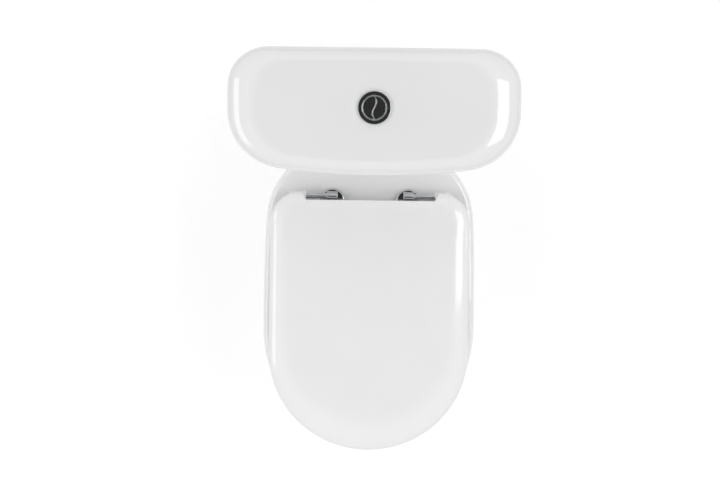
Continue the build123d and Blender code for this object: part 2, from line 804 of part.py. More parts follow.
with BuildPart() as float_lever:
    with BuildSketch(Plane.XZ.offset(-flush_y - lever_width / 2)):
        with Locations(((lever_pivot_x + lever_end_x + 6) / 2, lever_z)):
            Rectangle(lever_length + 6, lever_thickness)
        with Locations((lever_pivot_x, lever_z)):
            Circle(3)
            Circle(1.5 + running_gap, mode=Mode.SUBTRACT)
    extrude(amount=lever_width)
    with BuildSketch(Plane.XY.offset(lever_z - lever_thickness)):
        with Locations((lever_end_x, flush_y)):
            SlotOverall(9, link_diameter + 1.4)
    extrude(amount=2 * lever_thickness, mode=Mode.SUBTRACT)
save(float_lever, "float_lever")

with BuildPart() as fill_float:
    with BuildSketch(Plane.XY.offset(float_top - float_height)):
        with Locations((fill_x, flush_y)):
            Circle(float_diameter / 2)
    extrude(amount=float_height)
    fillet(fill_float.edges().group_by(Axis.Z)[-1], 3)
    with BuildSketch(Plane.XY.offset(float_top - 8)):
        with Locations(((fill_x + float_diameter / 2 + lever_end_x) / 2, flush_y)):
            Rectangle(lever_end_x + 10 - fill_x - float_diameter / 2, 10)
    extrude(amount=5)
    with Locations((fill_x, flush_y, float_top)):
        Hole(fill_tower / 2 + sliding_gap, depth=float_height)
    with Locations((lever_end_x, flush_y, float_top)):
        Hole(link_diameter / 2, depth=20)
save(fill_float, "fill_float")

with BuildPart() as float_link:
    with BuildSketch(Plane.XY.offset(float_top - 12)):
        with Locations((lever_end_x, flush_y)):
            Circle(link_diameter / 2)
    extrude(amount=lever_z + 14 - float_top + 12)
save(float_link, "float_link")

# ---------------------------------------------------------------- seat ring and cover
ring_rear_y = seat_rear_y
ear_web = 7
ring_edge_radius = 6
ring_opening_radius = 5
cover_edge_radius = 9
seat_buffer_radius = 10
cover_buffer_radius = 6

with BuildPart() as seat_ring:
    extrude(to_extrude=seat_section(seat_bottom, ring_inset, ring_rear_y), amount=seat_thickness)
    fillet(seat_ring.edges().group_by(Axis.Z)[-1], ring_edge_radius)
    ring_opening = egg_section(
        seat_bottom, ring_half_opening, ring_front_opening_y, ring_back_opening_y, bowl_middle_y
    )
    extrude(to_extrude=ring_opening, amount=seat_thickness, mode=Mode.SUBTRACT)
    inner_edges = seat_ring.edges().group_by(Axis.Z)[-1]
    fillet(inner_edges.sort_by(lambda edge: edge.length)[-2:], ring_opening_radius)
    for side in (1, -1):
        middle_x = side * sum(seat_knuckle) / 2
        with BuildSketch(Plane.YZ.offset(middle_x)):
            with Locations((hinge_y, hinge_z)):
                Circle(knuckle_diameter / 2)
            with Locations(((hinge_y + ring_rear_y) / 2 - 4, hinge_z - 2)):
                Rectangle(hinge_y - ring_rear_y + 8, ear_web)
        extrude(amount=(seat_knuckle[1] - seat_knuckle[0]) / 2, both=True)
        with BuildSketch(Plane.YZ.offset(middle_x)):
            with Locations((hinge_y, hinge_z)):
                Circle(hinge_pin_diameter / 2 + running_gap)
        extrude(amount=seat_knuckle[1] - seat_knuckle[0], both=True, mode=Mode.SUBTRACT)
save(seat_ring, "seat_ring")

buffer_spots = [(147, -60), (-147, -60), (116, -225), (-116, -225)]

with BuildPart() as seat_buffers:
    with BuildSketch(Plane.XY.offset(rim_height)):
        with Locations(*buffer_spots):
            Circle(seat_buffer_radius)
    extrude(amount=seat_buffer_height)
    fillet(seat_buffers.edges().group_by(Axis.Z)[0], 1.5)
save(seat_buffers, "seat_buffers")

with BuildPart() as seat_cover:
    extrude(to_extrude=seat_section(cover_bottom, 0, hinge_y + 3.5), amount=cover_thickness + 20)
    with Locations((0, bowl_middle_y, cover_top - crown_radius)):
        Sphere(crown_radius, mode=Mode.INTERSECT)
    fillet(seat_cover.faces().sort_by(Axis.Z)[-1].edges(), cover_edge_radius)
    with BuildSketch(Plane.XY.offset(cover_bottom)):
        with Locations((0, cover_rear_y)):
            Rectangle(2 * hinge_notch_half_width, 60, align=(Align.CENTER, Align.MIN))
    extrude(amount=cover_thickness + 20, mode=Mode.SUBTRACT)
    extrude(
        to_extrude=seat_section(cover_bottom, cover_wall, cover_rear_y - cover_wall),
        amount=cover_thickness - cover_wall - 3,
        mode=Mode.SUBTRACT,
    )
    for side in (1, -1):
        middle_x = side * sum(cover_knuckle) / 2
        with BuildSketch(Plane.YZ.offset(middle_x)):
            with Locations((hinge_y, hinge_z)):
                Circle(knuckle_diameter / 2)
            with Locations((hinge_y - 1.5, hinge_z)):
                Rectangle(ear_web, cover_bottom + 3 - hinge_z, align=(Align.CENTER, Align.MIN))
        extrude(amount=(cover_knuckle[1] - cover_knuckle[0]) / 2, both=True)
        with BuildSketch(Plane.YZ.offset(middle_x)):
            with Locations((hinge_y, hinge_z)):
                Circle(hinge_pin_diameter / 2 + running_gap)
        extrude(amount=cover_knuckle[1] - cover_knuckle[0], both=True, mode=Mode.SUBTRACT)
save(seat_cover, "seat_cover")

with BuildPart() as cover_buffers:
    with BuildSketch(Plane.XY.offset(seat_top)):
        with Locations(*buffer_spots):
            Circle(cover_buffer_radius)
    extrude(amount=cover_top - cover_wall - 3 - seat_top)
save(cover_buffers, "cover_buffers")

# ---------------------------------------------------------------- hinges
base_bottom = rim_height + hinge_washer_height
stud_tail = 24
eye_inner_x = 55
eye_outer_x = 73
hinge_lower_washer_radius = 13

with BuildPart() as hinge_washers:
    with BuildSketch(Plane.XY.offset(rim_height)):
        with Locations((hinge_x, hinge_bolt_y), (-hinge_x, hinge_bolt_y)):
            Circle(hinge_base_diameter / 2 - 1)
            Circle(hinge_bolt_diameter / 2, mode=Mode.SUBTRACT)
    extrude(amount=hinge_washer_height)
save(hinge_washers, "hinge_washers")


def hinge_base(side):
    """Round plate with an eye on it that holds the hinge pin."""
    with BuildPart() as base:
        with BuildSketch(Plane.XY.offset(base_bottom)):
            with Locations((side * hinge_x, hinge_bolt_y)):
                Circle(hinge_base_diameter / 2)
        extrude(amount=hinge_base_height)
        fillet(base.edges().group_by(Axis.Z)[-1], 3)
        with BuildSketch(Plane.YZ.offset(side * eye_inner_x)):
            with Locations((hinge_y, hinge_z)):
                Circle(eye_diameter / 2)
            with Locations((hinge_y, base_bottom + 1)):
                Rectangle(eye_diameter - 3, hinge_z - base_bottom - 1, align=(Align.CENTER, Align.MIN))
        extrude(amount=side * (eye_outer_x - eye_inner_x))
        with BuildSketch(Plane.YZ.offset(side * eye_inner_x)):
            with Locations((hinge_y, hinge_z)):
                Circle(hinge_pin_diameter / 2 + running_gap)
        extrude(amount=side * (eye_outer_x - eye_inner_x), mode=Mode.SUBTRACT)
    return base


save(hinge_base(1), "hinge_base_right")
save(hinge_base(-1), "hinge_base_left")

with BuildPart() as hinge_pins:
    for side in (1, -1):
        with BuildSketch(Plane.YZ.offset(side * eye_inner_x)):
            with Locations((hinge_y, hinge_z)):
                Circle(hinge_pin_diameter / 2)
        extrude(amount=side * (cover_knuckle[1] - eye_inner_x - 0.5))
save(hinge_pins, "hinge_pins")

hinge_spots = [(hinge_x, hinge_bolt_y), (-hinge_x, hinge_bolt_y)]

with BuildPart() as hinge_studs:
    with BuildSketch(Plane.XY.offset(base_bottom)):
        with Locations(*hinge_spots):
            Circle(hinge_bolt_diameter / 2)
    extrude(amount=shelf_under - stud_tail - base_bottom)
save(hinge_studs, "hinge_studs")

with BuildPart() as hinge_lower_washers:
    with BuildSketch(Plane.XY.offset(shelf_under)):
        with Locations(*hinge_spots):
            Circle(hinge_lower_washer_radius)
            Circle(hinge_bolt_diameter / 2, mode=Mode.SUBTRACT)
    extrude(amount=-washer_height * 2)
save(hinge_lower_washers, "hinge_lower_washers")

save(wing_nuts(shelf_under - washer_height * 2, hinge_spots, hinge_bolt_diameter), "hinge_wing_nuts")
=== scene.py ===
"""Looks of a close coupled toilet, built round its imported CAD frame.

The CAD nodes keep their places. The lid, the seat and the bright fittings that are seen most get smooth
surfaces worked out with numpy, everything else keeps its CAD mesh, and every surface gets a finish made of
nodes. Lengths are in metres, the front is towards -Y and the floor is at Z = 0.
"""

import json
import logging
import math
from dataclasses import dataclass, field
from enum import Enum
from typing import Dict, List, Sequence, Tuple

import bpy
import numpy as np
from mathutils import Matrix, Vector

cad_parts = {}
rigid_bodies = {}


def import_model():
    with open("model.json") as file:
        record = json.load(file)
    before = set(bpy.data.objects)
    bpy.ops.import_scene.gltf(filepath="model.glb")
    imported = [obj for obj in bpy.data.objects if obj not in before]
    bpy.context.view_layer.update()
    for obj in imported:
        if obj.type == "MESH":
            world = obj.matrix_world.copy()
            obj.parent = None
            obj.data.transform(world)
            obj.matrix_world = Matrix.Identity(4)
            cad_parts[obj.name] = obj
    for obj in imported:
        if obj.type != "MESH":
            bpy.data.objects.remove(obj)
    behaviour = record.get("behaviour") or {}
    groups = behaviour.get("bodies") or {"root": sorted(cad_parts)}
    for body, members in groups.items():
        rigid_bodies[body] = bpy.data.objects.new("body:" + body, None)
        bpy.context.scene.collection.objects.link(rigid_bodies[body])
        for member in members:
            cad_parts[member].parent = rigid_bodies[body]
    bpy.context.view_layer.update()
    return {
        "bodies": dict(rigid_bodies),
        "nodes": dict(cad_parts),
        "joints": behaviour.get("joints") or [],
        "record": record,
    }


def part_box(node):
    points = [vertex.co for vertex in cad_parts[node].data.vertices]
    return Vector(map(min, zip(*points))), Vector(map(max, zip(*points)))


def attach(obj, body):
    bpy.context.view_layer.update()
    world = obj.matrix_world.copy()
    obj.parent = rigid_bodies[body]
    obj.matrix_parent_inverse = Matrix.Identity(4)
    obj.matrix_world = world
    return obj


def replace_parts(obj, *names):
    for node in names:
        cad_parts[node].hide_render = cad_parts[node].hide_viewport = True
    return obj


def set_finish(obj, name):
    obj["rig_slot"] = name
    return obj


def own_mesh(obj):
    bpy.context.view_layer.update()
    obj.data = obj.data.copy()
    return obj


log = logging.getLogger("toilet")

Pair = Tuple[float, float]
Point = Tuple[float, float, float]
Colour = Tuple[float, float, float]
Socket = bpy.types.NodeSocket

WHITE = (1.0, 1.0, 1.0, 1.0)
MIDRANGE = (0.3, 0.7)
CREASE_REACH = 0.00025
CREASE_LIMIT = 0.3
CREASE_CUT = 0.2
SEAT_MIDDLE = (0.0, -0.100)
SIDES = ((1, "right"), (-1, "left"))


class Slot(Enum):
    """The record's material slots."""

    CHINA = "vitreous_china"
    DUROPLAST = "white_duroplast"
    CHROME = "chrome_plate"
    RUBBER = "black_rubber"
    BUFFER = "clear_buffer"
    STEEL = "stainless_steel"
    NYLON = "nylon"
    VALVE_PLASTIC = "valve_plastic"
    COLOURED_PLASTIC = "coloured_plastic"


# ---------------------------------------------------------------- finishes
class NodeSketch:
    """One material's node tree, with short calls for the nodes that the finishes share."""

    def __init__(self, name: str) -> None:
        """Start an empty material that holds only its shader.

        Args:
            name: Name of the material.
        """
        self.material = bpy.data.materials.new(name)
        self.material.use_nodes = True
        self.tree = self.material.node_tree
        self.tree.nodes.clear()
        output = self.tree.nodes.new("ShaderNodeOutputMaterial")
        self.shader = self.tree.nodes.new("ShaderNodeBsdfPrincipled")
        self.tree.links.new(self.shader.outputs["BSDF"], output.inputs["Surface"])
        self.coordinates = self.tree.nodes.new("ShaderNodeTexCoord")

    def link(self, source: Socket, target: Socket) -> None:
        """Join an output socket to an input socket."""
        self.tree.links.new(source, target)

    def constants(self, **values: float) -> None:
        """Set the shader's own sockets, underscores standing for the spaces in their names."""
        for socket, value in values.items():
            self.shader.inputs[socket.replace("_", " ")].default_value = value

    def stretched(self, scale: Point) -> Socket:
        """Object coordinates scaled along each axis.

        Args:
            scale: Factors along X, Y and Z.

        Returns:
            The scaled vector's socket.
        """
        mapping = self.tree.nodes.new("ShaderNodeMapping")
        mapping.inputs["Scale"].default_value = scale
        self.link(self.coordinates.outputs["Object"], mapping.inputs["Vector"])
        return mapping.outputs["Vector"]

    def noise(self, scale: float, detail: float = 2.0, stretch: Point = (1, 1, 1)) -> Socket:
        """Fractal noise over Object coordinates.

        Args:
            scale: Features per metre, roughly.
            detail: Octaves.
            stretch: Factors along X, Y and Z before the noise.

        Returns:
            The noise's value socket, about 0.3 to 0.7.
        """
        node = self.tree.nodes.new("ShaderNodeTexNoise")
        node.inputs["Scale"].default_value = scale
        node.inputs["Detail"].default_value = detail
        self.link(self.stretched(stretch), node.inputs["Vector"])
        return node.outputs["Fac"]

    def speckle(self, scale: float) -> Socket:
        """Distance to the nearest of many scattered points.

        Args:
            scale: Points per metre, roughly.

        Returns:
            The distance socket.
        """
        node = self.tree.nodes.new("ShaderNodeTexVoronoi")
        node.inputs["Scale"].default_value = scale
        self.link(self.stretched((1, 1, 1)), node.inputs["Vector"])
        return node.outputs["Distance"]

    def ranged(self, value: Socket, result: Pair, span: Pair = MIDRANGE) -> Socket:
        """Carry a value that runs over a span evenly over to a result, and hold it at both ends.

        Args:
            value: Socket to carry over.
            result: Results at the start and at the end of the span.
            span: Start and end of the value's span.

        Returns:
            The result's socket.
        """
        node = self.tree.nodes.new("ShaderNodeMapRange")
        node.inputs["From Min"].default_value, node.inputs["From Max"].default_value = span
        node.inputs["To Min"].default_value, node.inputs["To Max"].default_value = result
        self.link(value, node.inputs["Value"])
        return node.outputs["Result"]

    def blended(self, value: Socket, first: Colour, second: Colour) -> Socket:
        """Run between two colours as a value crosses its middle range.

        Args:
            value: Socket that chooses.
            first: Colour at the low end.
            second: Colour at the high end.

        Returns:
            The colour's socket.
        """
        ramp = self.tree.nodes.new("ShaderNodeValToRGB")
        for stop, place, colour in zip(ramp.color_ramp.elements, MIDRANGE, (first, second)):
            stop.position = place
            stop.color = (*colour, 1.0)
        self.link(value, ramp.inputs["Fac"])
        return ramp.outputs["Color"]

    def level(self) -> Socket:
        """Height above the floor.

        Returns:
            The height's socket, in metres.
        """
        parts = self.tree.nodes.new("ShaderNodeSeparateXYZ")
        self.link(self.coordinates.outputs["Object"], parts.inputs["Vector"])
        return parts.outputs["Z"]

    def lesser(self, first: Socket, second: Socket) -> Socket:
        """The smaller of two values.

        Args:
            first: One value's socket.
            second: The other's.

        Returns:
            The result's socket.
        """
        node = self.tree.nodes.new("ShaderNodeMath")
        node.operation = "MINIMUM"
        self.link(first, node.inputs[0])
        self.link(second, node.inputs[1])
        return node.outputs["Value"]

    def gained(self, colour: Socket, gain: Socket) -> Socket:
        """Multiply a colour's brightness.

        Args:
            colour: Colour socket.
            gain: Factor socket.

        Returns:
            The brighter or darker colour's socket.
        """
        node = self.tree.nodes.new("ShaderNodeHueSaturation")
        self.link(gain, node.inputs["Value"])
        self.link(colour, node.inputs["Color"])
        return node.outputs["Color"]

    def paint(self, colour: Socket) -> None:
        """Give the shader its base colour."""
        self.link(colour, self.shader.inputs["Base Color"])

    def polish(self, value: Socket, roughness: Pair) -> None:
        """Let a value run the shader's roughness from its least to its most."""
        self.link(self.ranged(value, roughness), self.shader.inputs["Roughness"])

    def bumped(self, height: Socket, depth: float) -> None:
        """Raise and sink the surface's shading by a height, on top of any earlier bump.

        Args:
            height: Height socket.
            depth: Metres for a height of 1.
        """
        bump = self.tree.nodes.new("ShaderNodeBump")
        bump.inputs["Distance"].default_value = depth
        bump.inputs["Strength"].default_value = 1.0
        self.link(height, bump.inputs["Height"])
        earlier = self.shader.inputs["Normal"]
        if earlier.is_linked:
            self.link(earlier.links[0].from_socket, bump.inputs["Normal"])
        self.link(bump.outputs["Normal"], earlier)


@dataclass(frozen=True)
class Glaze:
    """Fired white glaze: a clear skin over china whose tint drifts a little, with painted light that whitens
    it about the rim and shelf to lift their shade.

    Attributes:
        name: The material's name.
        china: Tint where the glaze is thin.
        pooled: Tint where it has pooled.
        roughness: Least and most.
        drift: Features per metre and octaves of the tint's drift.
        gloss: The same of the change in gloss.
        ripple: The same of the slow ripple.
        peel: The same of the fine ripple.
        ripple_depth: Depth of the slow ripple.
        peel_depth: Depth of the fine ripple.
        painted_light_gain: How much whiter the painted light makes the rim and shelf, standing in for light
            that their shade lacks.
        above_rim: Heights between which that gain fades out above the rim.
        below_rim: Heights between which it comes in below the rim.
    """

    name: str = "fired_glaze"
    china: Colour = (0.775, 0.775, 0.78)
    pooled: Colour = (0.80, 0.80, 0.80)
    roughness: Pair = (0.05, 0.11)
    drift: Pair = (5.0, 3.0)
    gloss: Pair = (38.0, 4.0)
    ripple: Pair = (26.0, 1.0)
    peel: Pair = (240.0, 1.0)
    ripple_depth: float = 0.00022
    peel_depth: float = 0.0000066
    painted_light_gain: float = 1.11
    above_rim: Pair = (0.41, 0.52)
    below_rim: Pair = (0.28, 0.37)

    def material(self) -> bpy.types.Material:
        """Mix the glaze.

        Returns:
            The finished material.
        """
        sketch = NodeSketch(self.name)
        sketch.constants(IOR=1.52, Coat_Weight=0.35, Coat_Roughness=0.03, Coat_IOR=1.5)
        # Painted light: whitens the tint by painted_light_gain at rim and shelf height, to lift the shade
        # there.
        level = sketch.level()
        above = sketch.ranged(level, (self.painted_light_gain, 1.0), self.above_rim)
        below = sketch.ranged(level, (1.0, self.painted_light_gain), self.below_rim)
        tint = sketch.blended(sketch.noise(*self.drift), self.china, self.pooled)
        sketch.paint(sketch.gained(tint, sketch.lesser(above, below)))
        sketch.polish(sketch.noise(*self.gloss), self.roughness)
        sketch.bumped(sketch.noise(*self.ripple), self.ripple_depth)
        sketch.bumped(sketch.noise(*self.peel), self.peel_depth)
        return sketch.material


@dataclass(frozen=True)
class PressedResin:
    """Hot pressed white resin: smooth and glossy, with a faint mottle and the press's fine ripple.

    Attributes:
        name: The material's name.
        body: Tint of the resin.
        skin: Tint of the mottle.
        roughness: Least and most.
        mottle: Features per metre and octaves of the mottle.
        gloss: The same of the change in gloss.
        ripple: The same of the press's ripple.
        grain: The same of the fine grain.
        ripple_depth: Depth of the ripple.
        grain_depth: Depth of the grain.
    """

    name: str = "pressed_resin"
    body: Colour = (0.845, 0.845, 0.85)
    skin: Colour = (0.86, 0.86, 0.86)
    roughness: Pair = (0.07, 0.12)
    mottle: Pair = (14.0, 4.0)
    gloss: Pair = (60.0, 3.0)
    ripple: Pair = (34.0, 1.0)
    grain: Pair = (900.0, 2.0)
    ripple_depth: float = 0.00008
    grain_depth: float = 0.000006

    def material(self) -> bpy.types.Material:
        """Press the resin.

        Returns:
            The finished material.
        """
        sketch = NodeSketch(self.name)
        sketch.constants(IOR=1.5, Coat_Weight=0.2, Coat_Roughness=0.08)
        sketch.paint(sketch.blended(sketch.noise(*self.mottle), self.body, self.skin))
        sketch.polish(sketch.noise(*self.gloss), self.roughness)
        sketch.bumped(sketch.noise(*self.ripple), self.ripple_depth)
        sketch.bumped(sketch.noise(*self.grain), self.grain_depth)
        return sketch.material


@dataclass(frozen=True)
class Plating:
    """Bright chrome over metal or plastic, with wipe marks that only show in its gloss.

    Attributes:
        name: The material's name.
        metal: Tint of the plating.
        worn: Tint where it is worn.
        roughness: Least and most.
        wear: Features per metre and octaves of the worn places.
        wipes: The same of the wipe marks.
        wipe_way: Stretch of the wipe marks along each axis.
        waves: The same as wear, of the plating's waves.
        wave_depth: Depth of the waves.
    """

    name: str = "bright_chrome"
    metal: Colour = (0.56, 0.57, 0.59)
    worn: Colour = (0.66, 0.67, 0.68)
    roughness: Pair = (0.05, 0.13)
    wear: Pair = (120.0, 3.0)
    wipes: Pair = (180.0, 4.0)
    wipe_way: Point = (1, 0.2, 1)
    waves: Pair = (300.0, 1.0)
    wave_depth: float = 0.00001

    def material(self) -> bpy.types.Material:
        """Plate the metal.

        Returns:
            The finished material.
        """
        sketch = NodeSketch(self.name)
        sketch.constants(Metallic=1.0)
        sketch.paint(sketch.blended(sketch.noise(*self.wear), self.metal, self.worn))
        sketch.polish(sketch.noise(*self.wipes, stretch=self.wipe_way), self.roughness)
        sketch.bumped(sketch.noise(*self.waves), self.wave_depth)
        return sketch.material


@dataclass(frozen=True)
class TurnedSteel:
    """Stainless steel hardware with fine turning marks round it.

    Attributes:
        name: The material's name.
        metal: Tint of the steel.
        bright: Tint of its marks.
        roughness: Least and most.
        marks: Features per metre and octaves of the marks.
        mark_way: Stretch of the marks along each axis.
        mark_depth: Depth of the marks.
    """

    name: str = "turned_steel"
    metal: Colour = (0.50, 0.50, 0.49)
    bright: Colour = (0.62, 0.62, 0.61)
    roughness: Pair = (0.22, 0.42)
    marks: Pair = (350.0, 3.0)
    mark_way: Point = (1, 1, 6)
    mark_depth: float = 0.00003

    def material(self) -> bpy.types.Material:
        """Turn the steel.

        Returns:
            The finished material.
        """
        sketch = NodeSketch(self.name)
        sketch.constants(Metallic=1.0)
        marks = sketch.noise(*self.marks, stretch=self.mark_way)
        sketch.paint(sketch.blended(marks, self.metal, self.bright))
        sketch.polish(marks, self.roughness)
        sketch.bumped(marks, self.mark_depth)
        return sketch.material


@dataclass(frozen=True)
class Moulding:
    """Moulded plastic or rubber: flow marks in its tint, a fine grain in its skin.

    Attributes:
        name: The material's name.
        body: Tint of the stuff.
        flow: Tint of its flow marks.
        roughness: Least and most.
        grain_scale: Grains per metre, roughly.
        grain_depth: Depth of the grain.
        milky: Share of the light that goes in and comes out again.
        milky_depth: How deep that light goes.
        flow_marks: Features per metre and octaves of the flow marks.
        flow_way: Stretch of the flow marks along each axis.
        gloss: The same as flow_marks, of the change in gloss.
    """

    name: str
    body: Colour
    flow: Colour
    roughness: Pair = (0.32, 0.48)
    grain_scale: float = 1400.0
    grain_depth: float = 0.00004
    milky: float = 0.0
    milky_depth: float = 0.004
    flow_marks: Pair = (45.0, 4.0)
    flow_way: Point = (1, 1, 0.4)
    gloss: Pair = (220.0, 2.0)

    def material(self) -> bpy.types.Material:
        """Mould the piece's stuff.

        Returns:
            The finished material.
        """
        sketch = NodeSketch(self.name)
        sketch.constants(IOR=1.47)
        if self.milky > 0:
            sketch.constants(Subsurface_Weight=self.milky, Subsurface_Scale=self.milky_depth)
        flow = sketch.noise(*self.flow_marks, stretch=self.flow_way)
        sketch.paint(sketch.blended(flow, self.body, self.flow))
        sketch.polish(sketch.noise(*self.gloss), self.roughness)
        sketch.bumped(sketch.speckle(self.grain_scale), self.grain_depth)
        return sketch.material


class Wardrobe:
    """Every finish, made once and handed out by slot."""

    def __init__(self) -> None:
        """Make the finish of each slot."""
        self.by_slot: Dict[Slot, bpy.types.Material] = {
            Slot.CHINA: Glaze().material(),
            Slot.DUROPLAST: PressedResin().material(),
            Slot.CHROME: Plating().material(),
            Slot.RUBBER: Moulding(
                "cured_rubber", (0.018, 0.018, 0.019), (0.030, 0.030, 0.031), (0.55, 0.75), grain_scale=900.0
            ).material(),
            Slot.BUFFER: Moulding(
                "milky_buffer", (0.70, 0.70, 0.69), (0.78, 0.78, 0.76), (0.25, 0.38),
                grain_scale=700.0, grain_depth=0.00003, milky=0.25,
            ).material(),
            Slot.STEEL: TurnedSteel().material(),
            Slot.NYLON: Moulding(
                "natural_nylon", (0.66, 0.65, 0.60), (0.72, 0.71, 0.67), (0.30, 0.45),
                grain_scale=1100.0, grain_depth=0.00003, milky=0.15,
            ).material(),
            Slot.VALVE_PLASTIC: Moulding("satin_acetal", (0.62, 0.63, 0.64), (0.68, 0.69, 0.70)).material(),
            Slot.COLOURED_PLASTIC: Moulding("blue_acetal", (0.05, 0.13, 0.32), (0.07, 0.17, 0.38)).material(),
        }

    def dress(self, piece: bpy.types.Object, slot: Slot) -> None:
        """Give a piece one finish all over.

        Args:
            piece: Piece or CAD node.
            slot: Slot whose finish it takes.
        """
        slots = piece.data.materials
        if not slots:
            slots.append(self.by_slot[slot])
        for index in range(len(slots)):
            slots[index] = self.by_slot[slot]


# ---------------------------------------------------------------- surfaces
class Outline:
    """A closed outline seen from above, kept as the polar radius about a middle point."""

    def __init__(self, points: np.ndarray, middle: Pair) -> None:
        """Take the outline in.

        Args:
            points: Rows of X and Y, anticlockwise, the first not repeated, every one in sight of the middle.
            middle: Point that every scaled line shrinks to.
        """
        self.points = points
        self.middle = np.array(middle)
        way = points - self.middle
        bearing = np.unwrap(np.arctan2(way[:, 1], way[:, 0]))
        order = np.argsort(bearing)
        self.bearing, self.far = bearing[order], np.hypot(*way.T)[order]

    def radius(self, bearing: np.ndarray) -> np.ndarray:
        """Distance from the middle to the outline at each bearing."""
        return np.interp(bearing, self.bearing, self.far, period=2.0 * math.pi)

    def share(self, flat: np.ndarray) -> np.ndarray:
        """How far out each point lies, 0 at the middle and 1 on the outline."""
        way = flat - self.middle
        return np.hypot(way[..., 0], way[..., 1]) / self.radius(np.arctan2(way[..., 1], way[..., 0]))

    def bearings(self, count: int) -> np.ndarray:
        """Bearings of points spaced evenly along the outline.

        The length along the line is summed, and the points are read off at equal steps of it.

        Args:
            count: Points laid.

        Returns:
            The bearings, anticlockwise.
        """
        closed = np.vstack([self.points, self.points[:1]])
        length = np.concatenate([[0.0], np.cumsum(np.hypot(*np.diff(closed, axis=0).T))])
        steps = np.linspace(0.0, length[-1], count, endpoint=False)
        x, y = (np.interp(steps, length, closed[:, axis]) for axis in (0, 1))
        return np.unwrap(np.arctan2(y - self.middle[1], x - self.middle[0]))

    def inset(self, distance: float) -> "Outline":
        """The outline drawn in: each point moved against its own outward normal.

        Args:
            distance: How far in, or out where it is negative.

        Returns:
            The new outline, about the same middle.
        """
        ahead = np.roll(self.points, -2, axis=0) - np.roll(self.points, 2, axis=0)
        ahead /= lengths(ahead)
        normals = np.stack([ahead[:, 1], -ahead[:, 0]], axis=1)
        return Outline(self.points - normals * distance, tuple(self.middle))


@dataclass(frozen=True)
class Pillow:
    """A softly crowned top over an outline.

    With t the share of the way out, carried over from start..1 to 0..1, the height is
    foot + rise * sqrt(1 - t ** power) - crown * r * r, so the top is nearly flat, rolls over ever faster and
    meets the side upright.

    Attributes:
        outline: Outline that the roll follows.
        foot: Height where the roll leaves the side.
        rise: Height of the roll.
        start: Share of the way out where the roll begins.
        power: How late and how hard it rolls.
        crown: Fall from the middle, per square metre of distance.
    """

    outline: Outline
    foot: float
    rise: float
    start: float
    power: float
    crown: float

    def height(self, flat: np.ndarray) -> np.ndarray:
        """Height of the top over each point, by the formula above.

        Args:
            flat: Rows of X and Y.

        Returns:
            The heights.
        """
        t = np.clip((self.outline.share(flat) - self.start) / (1.0 - self.start), 0.0, 1.0)
        way = flat - self.outline.middle
        return self.foot + self.rise * np.sqrt(1.0 - t**self.power) - self.crown * (way**2).sum(axis=-1)

    def scales(self, count: int, inner: float = 0.0) -> np.ndarray:
        """Shares of the way out, from 1 inwards, that follow the roll evenly: t ** power = sin(a) ** 2.

        Args:
            count: Rings laid over the roll.
            inner: Share where the top ends, at a hole.

        Returns:
            The shares, falling.
        """
        turn = np.linspace(math.pi / 2.0, 0.0, count)
        roll = self.start + (1.0 - self.start) * np.sin(turn) ** (2.0 / self.power)
        flat = np.linspace(self.start, inner, count // 2 + 2)[1:]
        return np.concatenate([roll, flat[flat >= inner]])


@dataclass(frozen=True)
class Ring:
    """One closed line of a surface.

    Attributes:
        line: Outline whose shape it has.
        height: Its Z, or the pillow that it lies on.
        scale: Share of the way out to the outline.
        crease: Whether the surface has an edge here, so that the line is laid three times, closely.
        within: Smoother outline that the ring keeps to, until it nears its own line.
        reach_from: Share of the way out from which it turns to its own line.
    """

    line: Outline
    height: float | Pillow
    scale: float = 1.0
    crease: bool = False
    within: Outline | None = None
    reach_from: float = 0.84

    def lay(self, bearing: np.ndarray) -> np.ndarray:
        """Points of the ring: middle + scale * radius * (cos, sin) of each bearing, at its height.

        A ring with a smoother outline within follows that one up to the share reach_from, and turns evenly
        to its own line beyond it.

        Args:
            bearing: Bearings of the points.

        Returns:
            Rows of X, Y and Z.
        """
        far = self.line.radius(bearing) * self.scale
        if self.within is not None:
            whole = self.within.radius(bearing)
            share = max(0.0, (self.scale - self.reach_from) / (1.0 - self.reach_from))
            calm = whole * min(self.scale, self.reach_from)
            far = calm + (self.line.radius(bearing) - whole * self.reach_from) * share
        flat = self.line.middle + np.stack([far * np.cos(bearing), far * np.sin(bearing)], axis=-1)
        if isinstance(self.height, Pillow):
            return np.column_stack([flat, self.height.height(flat)])
        return np.column_stack([flat, np.full(len(flat), self.height)])


def lengths(ways: np.ndarray) -> np.ndarray:
    """Length of each row, kept from being nothing so that it can divide."""
    return np.maximum(np.linalg.norm(ways, axis=1, keepdims=True), 1e-9)


def stacked(rings: Sequence[Ring], bearing: np.ndarray) -> np.ndarray:
    """Stack rings into a grid.

    A creased ring gets one more ring on each side, CREASE_REACH away but no further than CREASE_LIMIT of the
    way to its neighbour, and is itself drawn CREASE_CUT of those two steps into its corner.

    Args:
        rings: Rings in order along the profile.
        bearing: Bearings of every ring's points.

    Returns:
        Array of rings by points by 3.
    """
    lines = [ring.lay(bearing) for ring in rings]
    stack: List[np.ndarray] = []
    for index, ring in enumerate(rings):
        line = lines[index]
        if not ring.crease:
            stack.append(line)
            continue
        before, after = lines[index - 1] - line, lines[(index + 1) % len(rings)] - line
        near = [way * np.minimum(CREASE_REACH / lengths(way), CREASE_LIMIT) for way in (before, after)]
        stack += [line + near[0], line + (near[0] + near[1]) * CREASE_CUT, line + near[1]]
    return np.array(stack)


def eased(line: Outline, level: float, steps: Sequence[Pair]) -> List[Ring]:
    """Rings that ease an edge, each step an inset of the line and a rise above the level."""
    return [Ring(line.inset(inset), level + rise) for inset, rise in steps]


